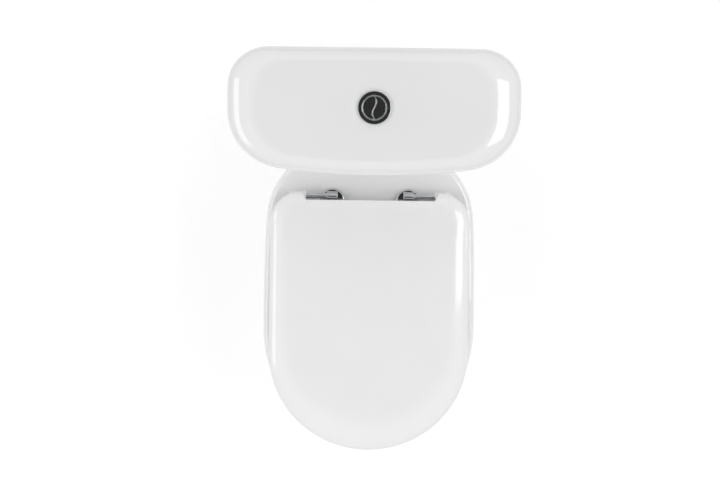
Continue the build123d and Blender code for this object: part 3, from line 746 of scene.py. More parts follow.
def rolled(line: Outline, level: float, roll: Pair, count: int, onto: bool = True) -> List[Ring]:
    """Rings of a quarter circle between a side and the end face at a level.

    With a from 0 to 90 degrees the line is drawn in by roll[0] (1 - cos a) and lies roll[1] (1 - sin a) above
    the level. Coming off the end face, sine and cosine change places.

    Args:
        line: Outline of the side.
        level: Height of the end face.
        roll: Radius of the roll, inwards and upwards.
        count: Rings laid.
        onto: Whether the rings run from the side onto the end face.

    Returns:
        The rings.
    """
    turn = np.linspace(0.0, math.pi / 2.0, count)
    near, far = (1.0 - np.cos(turn), 1.0 - np.sin(turn)) if onto else (1.0 - np.sin(turn), 1.0 - np.cos(turn))
    return eased(line, level, [(roll[0] * a, roll[1] * b) for a, b in zip(near.tolist(), far.tolist())])


def arc(middle: Pair, radii: Pair, start: float, end: float, count: int) -> np.ndarray:
    """Points along an ellipse's arc: middle + (cos a, sin a) times the two radii.

    Args:
        middle: The ellipse's middle.
        radii: Its half width and half depth.
        start: First bearing in degrees.
        end: Last bearing in degrees.
        count: Points laid.

    Returns:
        Rows of X and Y.
    """
    turn = np.radians(np.linspace(start, end, count))
    return np.stack([middle[0] + radii[0] * np.cos(turn), middle[1] + radii[1] * np.sin(turn)], axis=1)


def rounded(corners: Sequence[Pair], radii: Sequence[float], bulges: Sequence[float]) -> np.ndarray:
    """A polygon whose sides bow outwards and whose corners are rolled round.

    Each side is its chord plus bulge * 4 t (1 - t) along its normal. Each corner is cut back by its radius
    along both sides and bridged by a cubic curve that leaves along one side and arrives along the other, its
    two controls at 2 / 3 of the gap over 1 + cos(half the turn), as for a circle's arc.

    Args:
        corners: Corners, anticlockwise.
        radii: Distance cut back along each side at each corner.
        bulges: Bow of the side that leaves each corner.

    Returns:
        Rows of X and Y, anticlockwise.
    """
    count = len(corners)
    share = np.linspace(0.0, 1.0, 241)[:, None]
    sides: List[np.ndarray] = []
    for index in range(count):
        a, b = np.array(corners[index], float), np.array(corners[(index + 1) % count], float)
        way = (b - a) / np.linalg.norm(b - a)
        side = a + (b - a) * share + np.array([way[1], -way[0]]) * bulges[index] * 4.0 * share * (1.0 - share)
        away_a = np.linalg.norm(side - a, axis=1)
        away_b = np.linalg.norm(side - b, axis=1)
        sides.append(side[(away_a >= radii[index]) & (away_b >= radii[(index + 1) % count])])
    line: List[np.ndarray] = []
    step = np.linspace(0.0, 1.0, 40)[1:-1, None]
    for index in range(count):
        before, after = sides[index - 1], sides[index]
        p, q = before[-1], after[0]
        u = (before[-1] - before[-2]) / np.linalg.norm(before[-1] - before[-2])
        v = (after[1] - after[0]) / np.linalg.norm(after[1] - after[0])
        turn = math.acos(float(np.clip(u @ v, -1.0, 1.0)))
        reach = np.linalg.norm(q - p) * (2.0 / 3.0) / (1.0 + math.cos(turn / 2.0))
        control_p, control_q = p + u * reach, q - v * reach
        curve = (
            (1 - step) ** 3 * p + 3 * (1 - step) ** 2 * step * control_p
            + 3 * (1 - step) * step**2 * control_q + step**3 * q
        )
        line += [curve, after]
    return np.vstack(line)


def skin(
    name: str, grid: np.ndarray, slot: Slot, body: str, closed_along: bool = False, capped: bool = False
) -> bpy.types.Object:
    """Make a piece from a grid of rings, each ring closed.

    Ring i and point j join ring i + 1 and point j + 1 in one four-sided face, by index arithmetic on whole
    arrays. A capped piece's end rings each lie all on one point, where they are merged into a pole.

    Args:
        name: The piece's name.
        grid: Rings by points by 3, laid so that faces look outwards.
        slot: The record's slot for it.
        body: CAD body that it moves with.
        closed_along: Whether the last ring joins the first.
        capped: Whether the first and the last ring are poles.

    Returns:
        The piece, riding on its body.
    """
    rings, points = grid.shape[:2]
    i = np.arange(rings if closed_along else rings - 1)[:, None]
    j = np.arange(points)[None, :]
    after_i, after_j = (i + 1) % rings, (j + 1) % points
    faces = np.stack(
        [i * points + j, i * points + after_j, after_i * points + after_j, after_i * points + j], axis=-1
    ).reshape(-1, 4)
    place = np.arange(rings * points)
    if capped:
        place[:points] = 0
        place[-points:] = (rings - 1) * points
    used, merged = np.unique(place[faces], return_inverse=True)
    merged = merged.reshape(-1, 4)
    mesh = bpy.data.meshes.new(name)
    rows = [list(dict.fromkeys(row)) for row in merged.tolist()] if capped else merged.tolist()
    mesh.from_pydata(grid.reshape(-1, 3)[used].tolist(), [], rows)
    mesh.validate()
    mesh.polygons.foreach_set("use_smooth", np.ones(len(mesh.polygons), bool))
    mesh.update()
    piece = bpy.data.objects.new(name, mesh)
    bpy.context.scene.collection.objects.link(piece)
    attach(piece, body)
    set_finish(piece, slot.value)
    return piece


def turned(
    name: str, profile: Sequence[Pair], middle: Pair, slot: Slot, body: str, count: int
) -> bpy.types.Object:
    """Turn a profile about an upright axis: (middle + r (cos a, sin a), z).

    Args:
        name: The piece's name.
        profile: Radius and height pairs in order, closed, or else running from pole to pole.
        middle: X and Y of the axis.
        slot: The record's slot for it.
        body: CAD body that it moves with.
        count: Points round.

    Returns:
        The piece, riding on its body.
    """
    bearing = np.linspace(0.0, 2.0 * math.pi, count, endpoint=False)
    radius, height = np.array(profile).T
    grid = np.stack(
        [
            middle[0] + radius[:, None] * np.cos(bearing),
            middle[1] + radius[:, None] * np.sin(bearing),
            np.repeat(height[:, None], count, axis=1),
        ],
        axis=-1,
    )
    from_pole = bool(radius[0] < 1e-9)
    return skin(name, grid, slot, body, closed_along=not from_pole, capped=from_pole)


def circle(middle: Pair, radius: float, count: int) -> Outline:
    """A round outline about its middle."""
    return Outline(arc(middle, (radius, radius), 0.0, 360.0 - 360.0 / count, count), middle)


def lugged(middle: Pair, radius: float, block: Tuple[float, float, float, float]) -> Outline:
    """A circle with a rectangular block grown out of it, both seen along X.

    The block holds the middle. Each bearing runs out to whichever is further, the circle or the block's side.

    Args:
        middle: Y and Z of the circle's middle.
        radius: The circle's radius.
        block: Lowest and highest Y, then lowest and highest Z, of the block.

    Returns:
        The outline, in Y and Z.
    """
    bearing = np.radians(np.linspace(0.0, 360.0, 1440, endpoint=False))
    along, rise = np.cos(bearing), np.sin(bearing)
    to_y = np.where(along > 0, block[1] - middle[0], middle[0] - block[0])
    to_z = np.where(rise > 0, block[3] - middle[1], middle[1] - block[2])
    reach = np.minimum(to_y / np.maximum(np.abs(along), 1e-6), to_z / np.maximum(np.abs(rise), 1e-6))
    far = np.maximum(radius, reach)
    points = np.array(middle) + far[:, None] * np.stack([along, rise], axis=1)
    return Outline(points, middle)


def across(grid: np.ndarray) -> np.ndarray:
    """Lay a grid of Y, Z and X rows out as X, Y and Z, so that what stood upright lies along X."""
    return grid[..., [2, 0, 1]]


def barrel(
    name: str, line: Outline, span: Pair, bore: float, edge: float, slot: Slot, body: str
) -> bpy.types.Object:
    """Make a piece that lies along X: an outline in Y and Z swept over a span, its ends rolled.

    Args:
        name: The piece's name.
        line: Outline in Y and Z.
        span: X of its two ends, in either order.
        bore: Radius of the bore along its middle, 0 for none.
        edge: Roll of its two ends.
        slot: The record's slot for it.
        body: CAD body that it moves with.

    Returns:
        The piece, riding on its body.
    """
    low, high = sorted(span)
    rings = rolled(line, low, (edge, edge), count=6, onto=False) + rolled(line, high, (edge, -edge), count=6)
    if bore > 0.0:
        hole = circle(tuple(line.middle), bore, count=180)
        rings += [Ring(hole, high, crease=True), Ring(hole, low, crease=True)]
    else:
        rings = [Ring(line, low, share) for share in (0.0, 0.5)] + rings
        rings += [Ring(line, high, share) for share in (0.5, 0.0)]
    grid = across(stacked(rings, line.bearings(count=160)))
    return skin(name, grid, slot, body, closed_along=bore > 0.0, capped=bore <= 0.0)


# ---------------------------------------------------------------- studio
@dataclass
class SoftBox:
    """One rectangular studio lamp."""

    name: str
    place: Point
    aim: Point
    size: Pair
    power: float

    def hang(self) -> bpy.types.Object:
        """Put the lamp up, turned to its aim.

        Returns:
            The lamp.
        """
        light = bpy.data.lights.new(self.name, "AREA")
        light.shape = "RECTANGLE"
        light.size, light.size_y = self.size
        light.energy = self.power
        lamp = bpy.data.objects.new(self.name, light)
        bpy.context.scene.collection.objects.link(lamp)
        way = Vector(self.aim) - Vector(self.place)
        lamp.location = self.place
        lamp.rotation_euler = way.to_track_quat("-Z", "Y").to_euler()
        lamp.visible_camera = False
        return lamp


@dataclass
class Studio:
    """Pale floor, soft light and the camera.

    Attributes:
        floor_reach: Half the floor's side.
        floor_tints: The two tints that the floor drifts between.
        floor_drift: Features per metre and octaves of that drift.
        floor_glow: The floor's own light.
        camera_place: Where the camera stands.
        camera_tilt: How far it is tipped back from straight down, in radians.
        camera_roll: How far it is rolled, in radians.
        lens: Its focal length in millimetres.
        world_light: Strength of the air's light.
        horizon_light: Share of that light low down.
        horizon_rise: Sines of the heights at which the light is lowest and is full again.
        dim_cone: Degrees from straight up inside which the light is dimmest and outside which it is full.
        dim_light: Share of the light straight above.
        key_way: Side from which the light is stronger.
        key_share: How much stronger it is there.
        lamps: The lamps.
    """

    floor_reach: float = 30.0
    floor_tints: Tuple[Colour, Colour] = ((0.90, 0.90, 0.90), (0.92, 0.92, 0.92))
    floor_drift: Pair = (0.8, 2.0)
    floor_glow: float = 0.20
    camera_place: Point = (-0.0163, 0.1843, 2.1317)
    camera_tilt: float = 0.0955
    camera_roll: float = 0.0131
    lens: float = 51.15
    world_light: float = 1.0
    horizon_light: float = 0.20
    horizon_rise: Pair = (0.05, 0.45)
    dim_cone: Pair = (17.0, 25.0)
    dim_light: float = 0.04
    key_way: Point = (0.45, -0.85, 0.0)
    key_share: float = 0.06
    lamps: List[SoftBox] = field(
        default_factory=lambda: [
            SoftBox("right_box", (1.55, 0.15, 3.0), (0.0, 0.1, 0.6), (1.25, 0.75), 12.0),
            SoftBox("left_box", (-2.1, -0.1, 2.5), (0.0, 0.0, 0.6), (1.9, 0.7), 11.0),
        ]
    )

    def lay_floor(self) -> None:
        """Lay the pale floor."""
        reach = self.floor_reach
        corners = [(-reach, -reach, 0), (reach, -reach, 0), (reach, reach, 0), (-reach, reach, 0)]
        mesh = bpy.data.meshes.new("floor")
        mesh.from_pydata(corners, [], [(0, 1, 2, 3)])
        floor = bpy.data.objects.new("floor", mesh)
        bpy.context.scene.collection.objects.link(floor)
        sketch = NodeSketch("pale_floor")
        sketch.constants(Roughness=0.9, Specular_IOR_Level=0.1, Emission_Strength=self.floor_glow)
        sketch.shader.inputs["Emission Color"].default_value = WHITE
        sketch.paint(sketch.blended(sketch.noise(*self.floor_drift), *self.floor_tints))
        mesh.materials.append(sketch.material)

    def light(self) -> None:
        """Set the air's light, dim low down and in a patch straight above, and hang the lamps.

        The strength is world_light * (1 + key_share * (way . key_way)), and a ramp over the way's Z gives the
        share of it that shines.
        """
        world = bpy.data.worlds.new("studio_air")
        world.use_nodes = True
        tree = world.node_tree
        sky = tree.nodes["Background"]
        way = tree.nodes.new("ShaderNodeTexCoord")
        parts = tree.nodes.new("ShaderNodeSeparateXYZ")
        ramp = tree.nodes.new("ShaderNodeValToRGB")
        inner, outer = (math.cos(math.radians(angle)) for angle in self.dim_cone)
        full, above = ramp.color_ramp.elements[0], ramp.color_ramp.elements[1]
        full.position, full.color = outer, WHITE
        above.position, above.color = inner, (*(self.dim_light,) * 3, 1.0)
        ramp.color_ramp.elements.new(0.0).color = WHITE
        ramp.color_ramp.elements.new(self.horizon_rise[0]).color = (*(self.horizon_light,) * 3, 1.0)
        ramp.color_ramp.elements.new(self.horizon_rise[1]).color = WHITE
        key = tree.nodes.new("ShaderNodeVectorMath")
        key.operation = "DOT_PRODUCT"
        key.inputs[1].default_value = self.key_way
        slope = tree.nodes.new("ShaderNodeMapRange")
        slope.inputs["From Min"].default_value = -1.0
        slope.inputs["To Min"].default_value = 1.0 - self.key_share
        slope.inputs["To Max"].default_value = 1.0 + self.key_share
        level = tree.nodes.new("ShaderNodeMath")
        level.operation = "MULTIPLY"
        level.inputs[1].default_value = self.world_light
        tree.links.new(way.outputs["Generated"], parts.inputs["Vector"])
        tree.links.new(parts.outputs["Z"], ramp.inputs["Fac"])
        tree.links.new(ramp.outputs["Color"], sky.inputs["Color"])
        tree.links.new(way.outputs["Generated"], key.inputs[0])
        tree.links.new(key.outputs["Value"], slope.inputs["Value"])
        tree.links.new(slope.outputs["Result"], level.inputs[0])
        tree.links.new(level.outputs["Value"], sky.inputs["Strength"])
        bpy.context.scene.world = world
        for lamp in self.lamps:
            lamp.hang()
        view = bpy.context.scene.view_settings
        view.view_transform = "Standard"
        view.look = "None"

    def set_camera(self) -> None:
        """Stand the camera nearly straight above, tipped back a little and rolled slightly."""
        tilt, roll = self.camera_tilt, self.camera_roll
        ahead = Vector((0.0, -math.sin(tilt), -math.cos(tilt)))
        up = Vector((0.0, math.cos(tilt), -math.sin(tilt)))
        right = Vector((1.0, 0.0, 0.0))
        turned_right = math.cos(roll) * right + math.sin(roll) * up
        turned_up = math.cos(roll) * up - math.sin(roll) * right
        frame = Matrix((turned_right, turned_up, -ahead)).transposed().to_4x4()
        frame.translation = Vector(self.camera_place)
        data = bpy.data.cameras.new("camera")
        data.lens = self.lens
        data.sensor_width = 36.0
        data.clip_start, data.clip_end = 0.05, 200.0
        camera = bpy.data.objects.new("camera", data)
        bpy.context.scene.collection.objects.link(camera)
        camera.matrix_world = frame
        bpy.context.scene.camera = camera

    def set_up(self) -> None:
        """Lay, light and frame the scene."""
        self.lay_floor()
        self.light()
        self.set_camera()
        log.info("studio: floor, %d lamps and camera", len(self.lamps))


# ---------------------------------------------------------------- sub-assemblies
@dataclass
class CisternLid:
    """Lid of the cistern: a soft crown, a skirt that drops over the tank and a hole for the button.

    Attributes:
        side_bulge: Bow of the two ends.
        front_lean: How far the front corners stand in from the widest line.
        back_lean: The same of the back corners.
        front_sweep: Bow of the front.
        front_corner: How far the front corners are cut back.
        back_corner: The same of the back corners.
        roll_rise: Height of the roll from the side onto the top.
        roll_start: Share of the way out where it begins.
        roll_power: How hard it rolls.
        crown: Fall of the top, per square metre of distance.
        side_margin: How far below the roll the side's last ring may lie.
        side_wall: Thickness of the side above the skirt.
        skirt_wall: Thickness of the skirt round the tank's rim.
        skirt: Height of the skirt.
        foot: Steps that ease the skirt's lower edge, inwards and upwards.
        hole_radius: Radius of the button's hole.
        hole_lip: Steps that ease its upper edge.
        hole_land: Flat round the hole, as a share of its radius.
        ceiling_drop: Thickness of the top.
        count: Points round.
    """

    side_bulge: float = 0.0055
    front_lean: float = 0.006
    back_lean: float = 0.005
    front_sweep: float = 0.0166
    front_corner: float = 0.064
    back_corner: float = 0.049
    roll_rise: float = 0.0165
    roll_start: float = 0.62
    roll_power: float = 3.0
    crown: float = 0.085
    side_margin: float = 0.010
    side_wall: float = 0.0205
    skirt_wall: float = 0.0075
    skirt: float = 0.012
    foot: Tuple[Pair, ...] = ((0.0008, 0.0), (0.0002, 0.0004), (0.0, 0.0012))
    hole_radius: float = 0.0191
    hole_lip: Tuple[Pair, ...] = ((-0.0010, -0.0001), (0.0, -0.0006))
    hole_land: float = 1.6
    ceiling_drop: float = 0.012
    count: int = 420

    def outline(self) -> Outline:
        """The lid from above: straight back, bowed ends and a long front arc.

        Returns:
            The outline, about the button's axis.
        """
        low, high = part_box("cistern_lid")
        half = high.x
        front_y = low.y + self.front_sweep
        corners = [
            (self.front_lean - half, front_y), (half - self.front_lean, front_y),
            (half - self.back_lean, high.y), (self.back_lean - half, high.y),
        ]
        radii = [self.front_corner, self.front_corner, self.back_corner, self.back_corner]
        bulges = [self.front_sweep, self.side_bulge, 0.0, self.side_bulge]
        return Outline(rounded(corners, radii, bulges), button_axis())

    def build(self) -> List[bpy.types.Object]:
        """Lay the lid's rings up the side, over the top, down the hole, under the ceiling and down the skirt.

        Returns:
            The lid, alone.
        """
        low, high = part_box("cistern_lid")
        line = self.outline()
        bearing = line.bearings(self.count)
        side_top = high.z - self.roll_rise
        top = Pillow(line, side_top, self.roll_rise, self.roll_start, self.roll_power, self.crown)
        middle = tuple(line.middle)
        hole = circle(middle, self.hole_radius, count=120)
        inner, rim = line.inset(self.side_wall), line.inset(self.skirt_wall)
        ceiling, shelf = high.z - self.ceiling_drop, low.z + self.skirt
        land = float(self.hole_radius * self.hole_land / line.radius(bearing).min())
        rings = eased(line, low.z, self.foot)
        side = top.foot - self.side_margin - low.z
        rings += [Ring(line, low.z + side * share) for share in (0.35, 0.7, 0.95)]
        rings += [Ring(line, top, scale) for scale in top.scales(count=26, inner=land)]
        rings += [*eased(hole, high.z, self.hole_lip), Ring(hole, ceiling, crease=True)]
        rings += [Ring(line, ceiling, share) for share in (0.45, 0.7)]
        rings += [Ring(inner, ceiling, crease=True), Ring(inner, shelf, crease=True)]
        rings += [Ring(rim, shelf, crease=True), Ring(rim, low.z, crease=True)]
        grid = stacked(rings, bearing)
        return [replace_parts(skin("lid_shell", grid, Slot.CHINA, "lid", closed_along=True), "cistern_lid")]


@dataclass
class SeatCover:
    """Seat cover: a thin pillow, hollow below, notched at the back for the hinge pins.

    Attributes:
        corner: Radius of the rear corners.
        taper: How far each side draws in towards the rear.
        front_margin: How much shorter the front's depth is than its half width.
        rear_gap: How far the rear edge stands behind the hinge's axis.
        notch_half: Half the notch's width.
        notch_rear: Y of the notch's edge.
        notch_pinch: Radians between the points at each corner of the notch.
        roll_rise: Height of the roll from the side onto the top.
        roll_start: Share of the way out where it begins.
        roll_power: How hard it rolls.
        crown: Fall of the top, per square metre of distance.
        wall: Thickness of the side.
        ceiling: Depth of the hollow.
        buffer_bed: How deep the buffers are let into the cover.
        foot: How far its lower edge is eased upwards.
        foot_share: Share of the way out where that easing starts.
        hinge_y: Y of the hinge's axis.
        hinge_z: Z of the hinge's axis.
        knuckle_radius: Radius of the knuckles.
        knuckle: X of the two ends of the right one.
        knuckle_edge: Roll of those ends.
        bore: Radius of the bore for the pin.
        web: Thickness of the web that hangs a knuckle from the cover.
        web_shift: How far the web stands in front of the axis.
        web_reach: How far it reaches into the cover.
        web_below: How far below the axis it starts.
        count: Points round.
    """

    corner: float = 0.052
    taper: float = 0.0015
    front_margin: float = 0.002
    rear_gap: float = 0.0072
    notch_half: float = 0.107
    notch_rear: float = 0.1045
    notch_pinch: float = 0.0008
    roll_rise: float = 0.0112
    roll_start: float = 0.62
    roll_power: float = 2.8
    crown: float = 0.055
    wall: float = 0.005
    ceiling: float = 0.007
    buffer_bed: float = 0.0025
    foot: float = 0.0006
    foot_share: float = 0.997
    hinge_y: float = 0.1105
    hinge_z: float = 0.418
    knuckle_radius: float = 0.0075
    knuckle: Pair = (0.122, 0.136)
    knuckle_edge: float = 0.0008
    bore: float = 0.00458
    web: float = 0.007
    web_shift: float = 0.0015
    web_reach: float = 0.0030
    web_below: float = 0.001
    count: int = 480

    def smooth(self, inset: float, rear: float) -> Outline:
        """The seat's outline: a round front, nearly straight sides and round rear corners.

        Args:
            inset: How far inside the cover's own outline.
            rear: Y of the rear edge.

        Returns:
            The outline.
        """
        low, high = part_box("seat_cover")
        half, front = high.x, low.y
        front_radius = half - self.front_margin
        middle_y = front + front_radius
        reach = front_radius - inset
        front_line = arc((0.0, middle_y), (half - inset, reach), 180.0, 360.0, 200)
        side_x = half - inset
        corner = self.corner - inset
        right_corner = arc((side_x - self.taper - corner, rear - corner), (corner, corner), 0.0, 90.0, 40)
        left_corner = arc((corner + self.taper - side_x, rear - corner), (corner, corner), 90.0, 180.0, 40)
        rise = np.linspace(0.0, 1.0, 42)[1:-1, None]
        right = front_line[-1] + (right_corner[0] - front_line[-1]) * rise
        left = left_corner[-1] + (front_line[0] - left_corner[-1]) * rise
        run = np.linspace(0.0, 1.0, 80)[1:-1, None]
        back = right_corner[-1] + (left_corner[0] - right_corner[-1]) * run
        return Outline(np.vstack([front_line, right, right_corner, back, left_corner, left]), SEAT_MIDDLE)

    def notched(self, whole: Outline) -> Outline:
        """The outline with the notch for the hinges cut out of its rear edge.

        Where a bearing from the middle meets the notch's line inside the notch, the radius stops there.

        Args:
            whole: Outline without the notch.

        Returns:
            The outline with the notch.
        """
        bearing = np.radians(np.linspace(0.0, 360.0, 14400, endpoint=False))
        way = np.stack([np.cos(bearing), np.sin(bearing)], axis=1)
        stop = (self.notch_rear - whole.middle[1]) / np.maximum(way[:, 1], 1e-6)
        inside = (way[:, 1] > 0) & (np.abs(stop * way[:, 0]) < self.notch_half)
        far = np.where(inside, stop, whole.radius(bearing))
        return Outline(whole.middle + far[:, None] * way, tuple(whole.middle))

    def round_bearings(self, whole: Outline) -> np.ndarray:
        """Bearings spaced evenly round the cover, with a close pair at each corner of the notch.

        Args:
            whole: Outline without the notch.

        Returns:
            The bearings, anticlockwise.
        """
        corner = math.atan2(self.notch_rear - whole.middle[1], self.notch_half)
        near = 0.5 * self.notch_pinch
        pairs = np.array([corner - near, corner + near, math.pi - corner - near, math.pi - corner + near])
        bearing = whole.bearings(self.count)
        return np.sort(np.concatenate([bearing, bearing[0] + (pairs - bearing[0]) % (2.0 * math.pi)]))

    def lugs(self, label: str, body: str, knuckle: Pair, block: Tuple[float, ...]) -> List[bpy.types.Object]:
        """Make a pair of knuckles about the hinge's axis, each with its web.

        Args:
            label: First word of their names.
            body: CAD body that they move with.
            knuckle: X of the two ends of the right one.
            block: Lowest and highest Y, then lowest and highest Z, of the web.

        Returns:
            The right and the left one.
        """
        line = lugged((self.hinge_y, self.hinge_z), self.knuckle_radius, block)
        return [
            barrel(
                f"{label}_lug_{word}", line, (side * knuckle[0], side * knuckle[1]), self.bore,
                self.knuckle_edge, Slot.DUROPLAST, body,
            )
            for side, word in SIDES
        ]

    def build(self) -> List[bpy.types.Object]:
        """Lay the cover from its ceiling, down the inside, up the side and over the top, then hang its lugs.

        Returns:
            The cover's shell and its two lugs.
        """
        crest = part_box("seat_cover")[1].z
        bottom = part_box("cover_buffers")[0].z + self.buffer_bed
        whole = self.smooth(0.0, self.hinge_y + self.rear_gap)
        edge = self.notched(whole)
        side_top = crest - self.roll_rise
        top = Pillow(whole, side_top, self.roll_rise, self.roll_start, self.roll_power, self.crown)
        inside = self.smooth(self.wall, self.notch_rear - self.wall)
        under = bottom + self.ceiling
        rings = [Ring(inside, under, scale) for scale in (0.0, 0.4, 0.8)]
        rings += [Ring(inside, under, crease=True), Ring(inside, bottom, crease=True)]
        rings += [Ring(edge, bottom, self.foot_share), Ring(edge, bottom + self.foot)]
        rings += [Ring(edge, top, scale, within=whole) for scale in top.scales(count=26)]
        grid = stacked(rings, self.round_bearings(whole))
        shell = skin("cover_shell", grid, Slot.DUROPLAST, "cover", capped=True)
        web_y, web_z = self.hinge_y - self.web_shift, self.hinge_z - self.web_below
        block = (web_y - self.web / 2, web_y + self.web / 2, web_z, bottom + self.web_reach)
        pieces = [shell, *self.lugs("cover", "cover", self.knuckle, block)]
        return [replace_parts(piece, "seat_cover") for piece in pieces]


@dataclass
class SeatRing:
    """Seat ring: a flat ring with rolled edges and an egg-shaped opening.

    Attributes:
        cover: The cover that lies on it, whose outline and hinge it shares.
        inset: How far it stands in from the cover's outline.
        rear_y: Y of its rear edge.
        opening_half: Half the opening's width.
        opening_front: Y of the opening's front.
        opening_back: Y of the opening's back.
        bowl_middle: Y of its widest line.
        outer_roll: Roll of its outer edge.
        inner_roll: Roll of the opening's edge.
        foot: Steps that ease its lower edge, inwards and upwards.
        opening_foot: The same for the opening's lower edge.
        knuckle: X of the two ends of its right knuckle.
        web: Thickness of the web behind a knuckle.
        web_reach: How far the web reaches in front of the rear edge.
        web_behind: How far it reaches behind the axis.
        web_drop: How far it lies below the axis.
        count: Points round.
    """

    cover: SeatCover = field(default_factory=SeatCover)
    inset: float = 0.002
    rear_y: float = 0.100
    opening_half: float = 0.112
    opening_front: float = -0.264
    opening_back: float = 0.022
    bowl_middle: float = -0.120
    outer_roll: float = 0.006
    inner_roll: float = 0.005
    foot: Tuple[Pair, ...] = ((0.0012, 0.0), (0.0003, 0.0004), (0.0, 0.0014))
    opening_foot: Tuple[Pair, ...] = ((0.0, 0.0010), (-0.0010, 0.0))
    knuckle: Pair = (0.1075, 0.1215)
    web: float = 0.007
    web_reach: float = 0.008
    web_behind: float = 0.001
    web_drop: float = 0.002
    count: int = 420

    def opening(self) -> Outline:
        """The opening: two half ellipses that meet at the bowl's widest line.

        Returns:
            The outline.
        """
        middle = (0.0, self.bowl_middle)
        front = arc(middle, (self.opening_half, self.bowl_middle - self.opening_front), 180.0, 360.0, 180)
        back = arc(middle, (self.opening_half, self.opening_back - self.bowl_middle), 0.0, 180.0, 180)
        return Outline(np.vstack([front[:-1], back[:-1]]), SEAT_MIDDLE)

    def build(self) -> List[bpy.types.Object]:
        """Lay the ring up its side, over the top and down its opening, with a barrel and web at each hinge.

        Returns:
            The ring and its two lugs.
        """
        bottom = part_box("seat_ring")[0].z
        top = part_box("cover_buffers")[0].z
        outer, hole = self.cover.smooth(self.inset, self.rear_y), self.opening()
        rings = eased(outer, bottom, self.foot)
        rings += rolled(outer, top, (self.outer_roll, -self.outer_roll), count=9)
        rings += rolled(hole, top, (-self.inner_roll, -self.inner_roll), count=9, onto=False)
        rings += eased(hole, bottom, self.opening_foot)
        grid = stacked(rings, outer.bearings(self.count))
        ring = skin("ring_shell", grid, Slot.DUROPLAST, "seat", closed_along=True)
        web_y, web_z = self.cover.hinge_y + self.web_behind, self.cover.hinge_z - self.web_drop
        block = (self.rear_y - self.web_reach, web_y, web_z - self.web / 2, web_z + self.web / 2)
        pieces = [ring, *self.cover.lugs("ring", "seat", self.knuckle, block)]
        return [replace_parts(piece, "seat_ring") for piece in pieces]


@dataclass
class Hinges:
    """The two bright hinges: a domed base with an eye, and a pin through it.

    Attributes:
        cover: The cover, whose hinge axis they share.
        base_height: Height of a dome.
        base_crown: Fall of its top from the middle to the roll.
        base_roll: Height of the roll round its top.
        roll_spread: Width of that roll, as a share of its height.
        foot: Steps that ease its lower edge, inwards and upwards.
        eye_radius: Radius of an eye.
        eye: X of the two ends of the right eye, where its pin starts too.
        eye_edge: Roll of those ends.
        neck_half: Half the thickness of the neck below an eye.
        sunk: How far the neck stands above the dome's foot, and how far it reaches above the axis.
        pin_gap: Clearance round the pin in the eye.
        pin_edge: Roll of the pin's ends.
    """

    cover: SeatCover = field(default_factory=SeatCover)
    base_height: float = 0.0055
    base_crown: float = 0.0003
    base_roll: float = 0.0016
    roll_spread: float = 1.4
    foot: Tuple[Pair, ...] = ((0.0006, 0.0), (0.0002, 0.0002), (0.0, 0.0007))
    eye_radius: float = 0.0075
    eye: Pair = (0.055, 0.073)
    eye_edge: float = 0.0008
    neck_half: float = 0.006
    sunk: float = 0.001
    pin_gap: float = 0.00008
    pin_edge: float = 0.0007

    def dome(self, word: str) -> bpy.types.Object:
        """Turn one base: radius and height run out along its foot, up its side and over the dome.

        Args:
            word: Its side's word in names.

        Returns:
            The dome.
        """
        low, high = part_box(f"hinge_base_{word}")
        radius = 0.5 * (high.x - low.x)
        middle = (0.5 * (low.x + high.x), low.y + radius)
        shoulder = low.z + self.base_height - self.base_crown - self.base_roll
        spread = self.base_roll * self.roll_spread
        profile = [(0.0, low.z), (radius * 0.6, low.z)]
        profile += [(radius - inset, low.z + rise) for inset, rise in self.foot]
        profile += [
            (radius - spread * (1.0 - math.cos(a)), shoulder + self.base_roll * math.sin(a))
            for a in np.linspace(0.0, math.pi / 2.0, 14)
        ]
        rim, level = profile[-1]
        shares = (0.75, 0.5, 0.25, 0.0)
        profile += [(rim * share, level + self.base_crown * (1.0 - share**2)) for share in shares]
        return turned(f"hinge_dome_{word}", profile, middle, Slot.CHROME, "root", count=128)

    def hinge(self, side: int, word: str) -> List[bpy.types.Object]:
        """Make one hinge, its dome and eye in place of the CAD base and its pin in place of the CAD pins.

        Args:
            side: 1 for the right hinge, -1 for the left.
            word: Its side's word in names.

        Returns:
            The dome, the eye and the pin.
        """
        y, z = self.cover.hinge_y, self.cover.hinge_z
        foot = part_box(f"hinge_base_{word}")[0].z + self.sunk
        pin_low, pin_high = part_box("hinge_pins")
        radius = 0.5 * (pin_high.z - pin_low.z)
        dome = self.dome(word)
        line = lugged((y, z), self.eye_radius, (y - self.neck_half, y + self.neck_half, foot, z + self.sunk))
        span = (side * self.eye[0], side * self.eye[1])
        bore = radius + self.pin_gap
        eye = barrel(f"hinge_eye_{word}", line, span, bore, self.eye_edge, Slot.CHROME, "root")
        for piece in (dome, eye):
            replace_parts(piece, f"hinge_base_{word}")
        span = (side * self.eye[0], side * pin_high.x)
        line = circle((y, z), radius, count=96)
        pin = barrel(f"hinge_pin_{word}", line, span, 0.0, self.pin_edge, Slot.CHROME, "seat")
        return [dome, eye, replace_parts(pin, "hinge_pins")]

    def build(self) -> List[bpy.types.Object]:
        """Make both hinges.

        Returns:
            The pieces, dome, eye and pin for each side.
        """
        return [piece for side, word in SIDES for piece in self.hinge(side, word)]


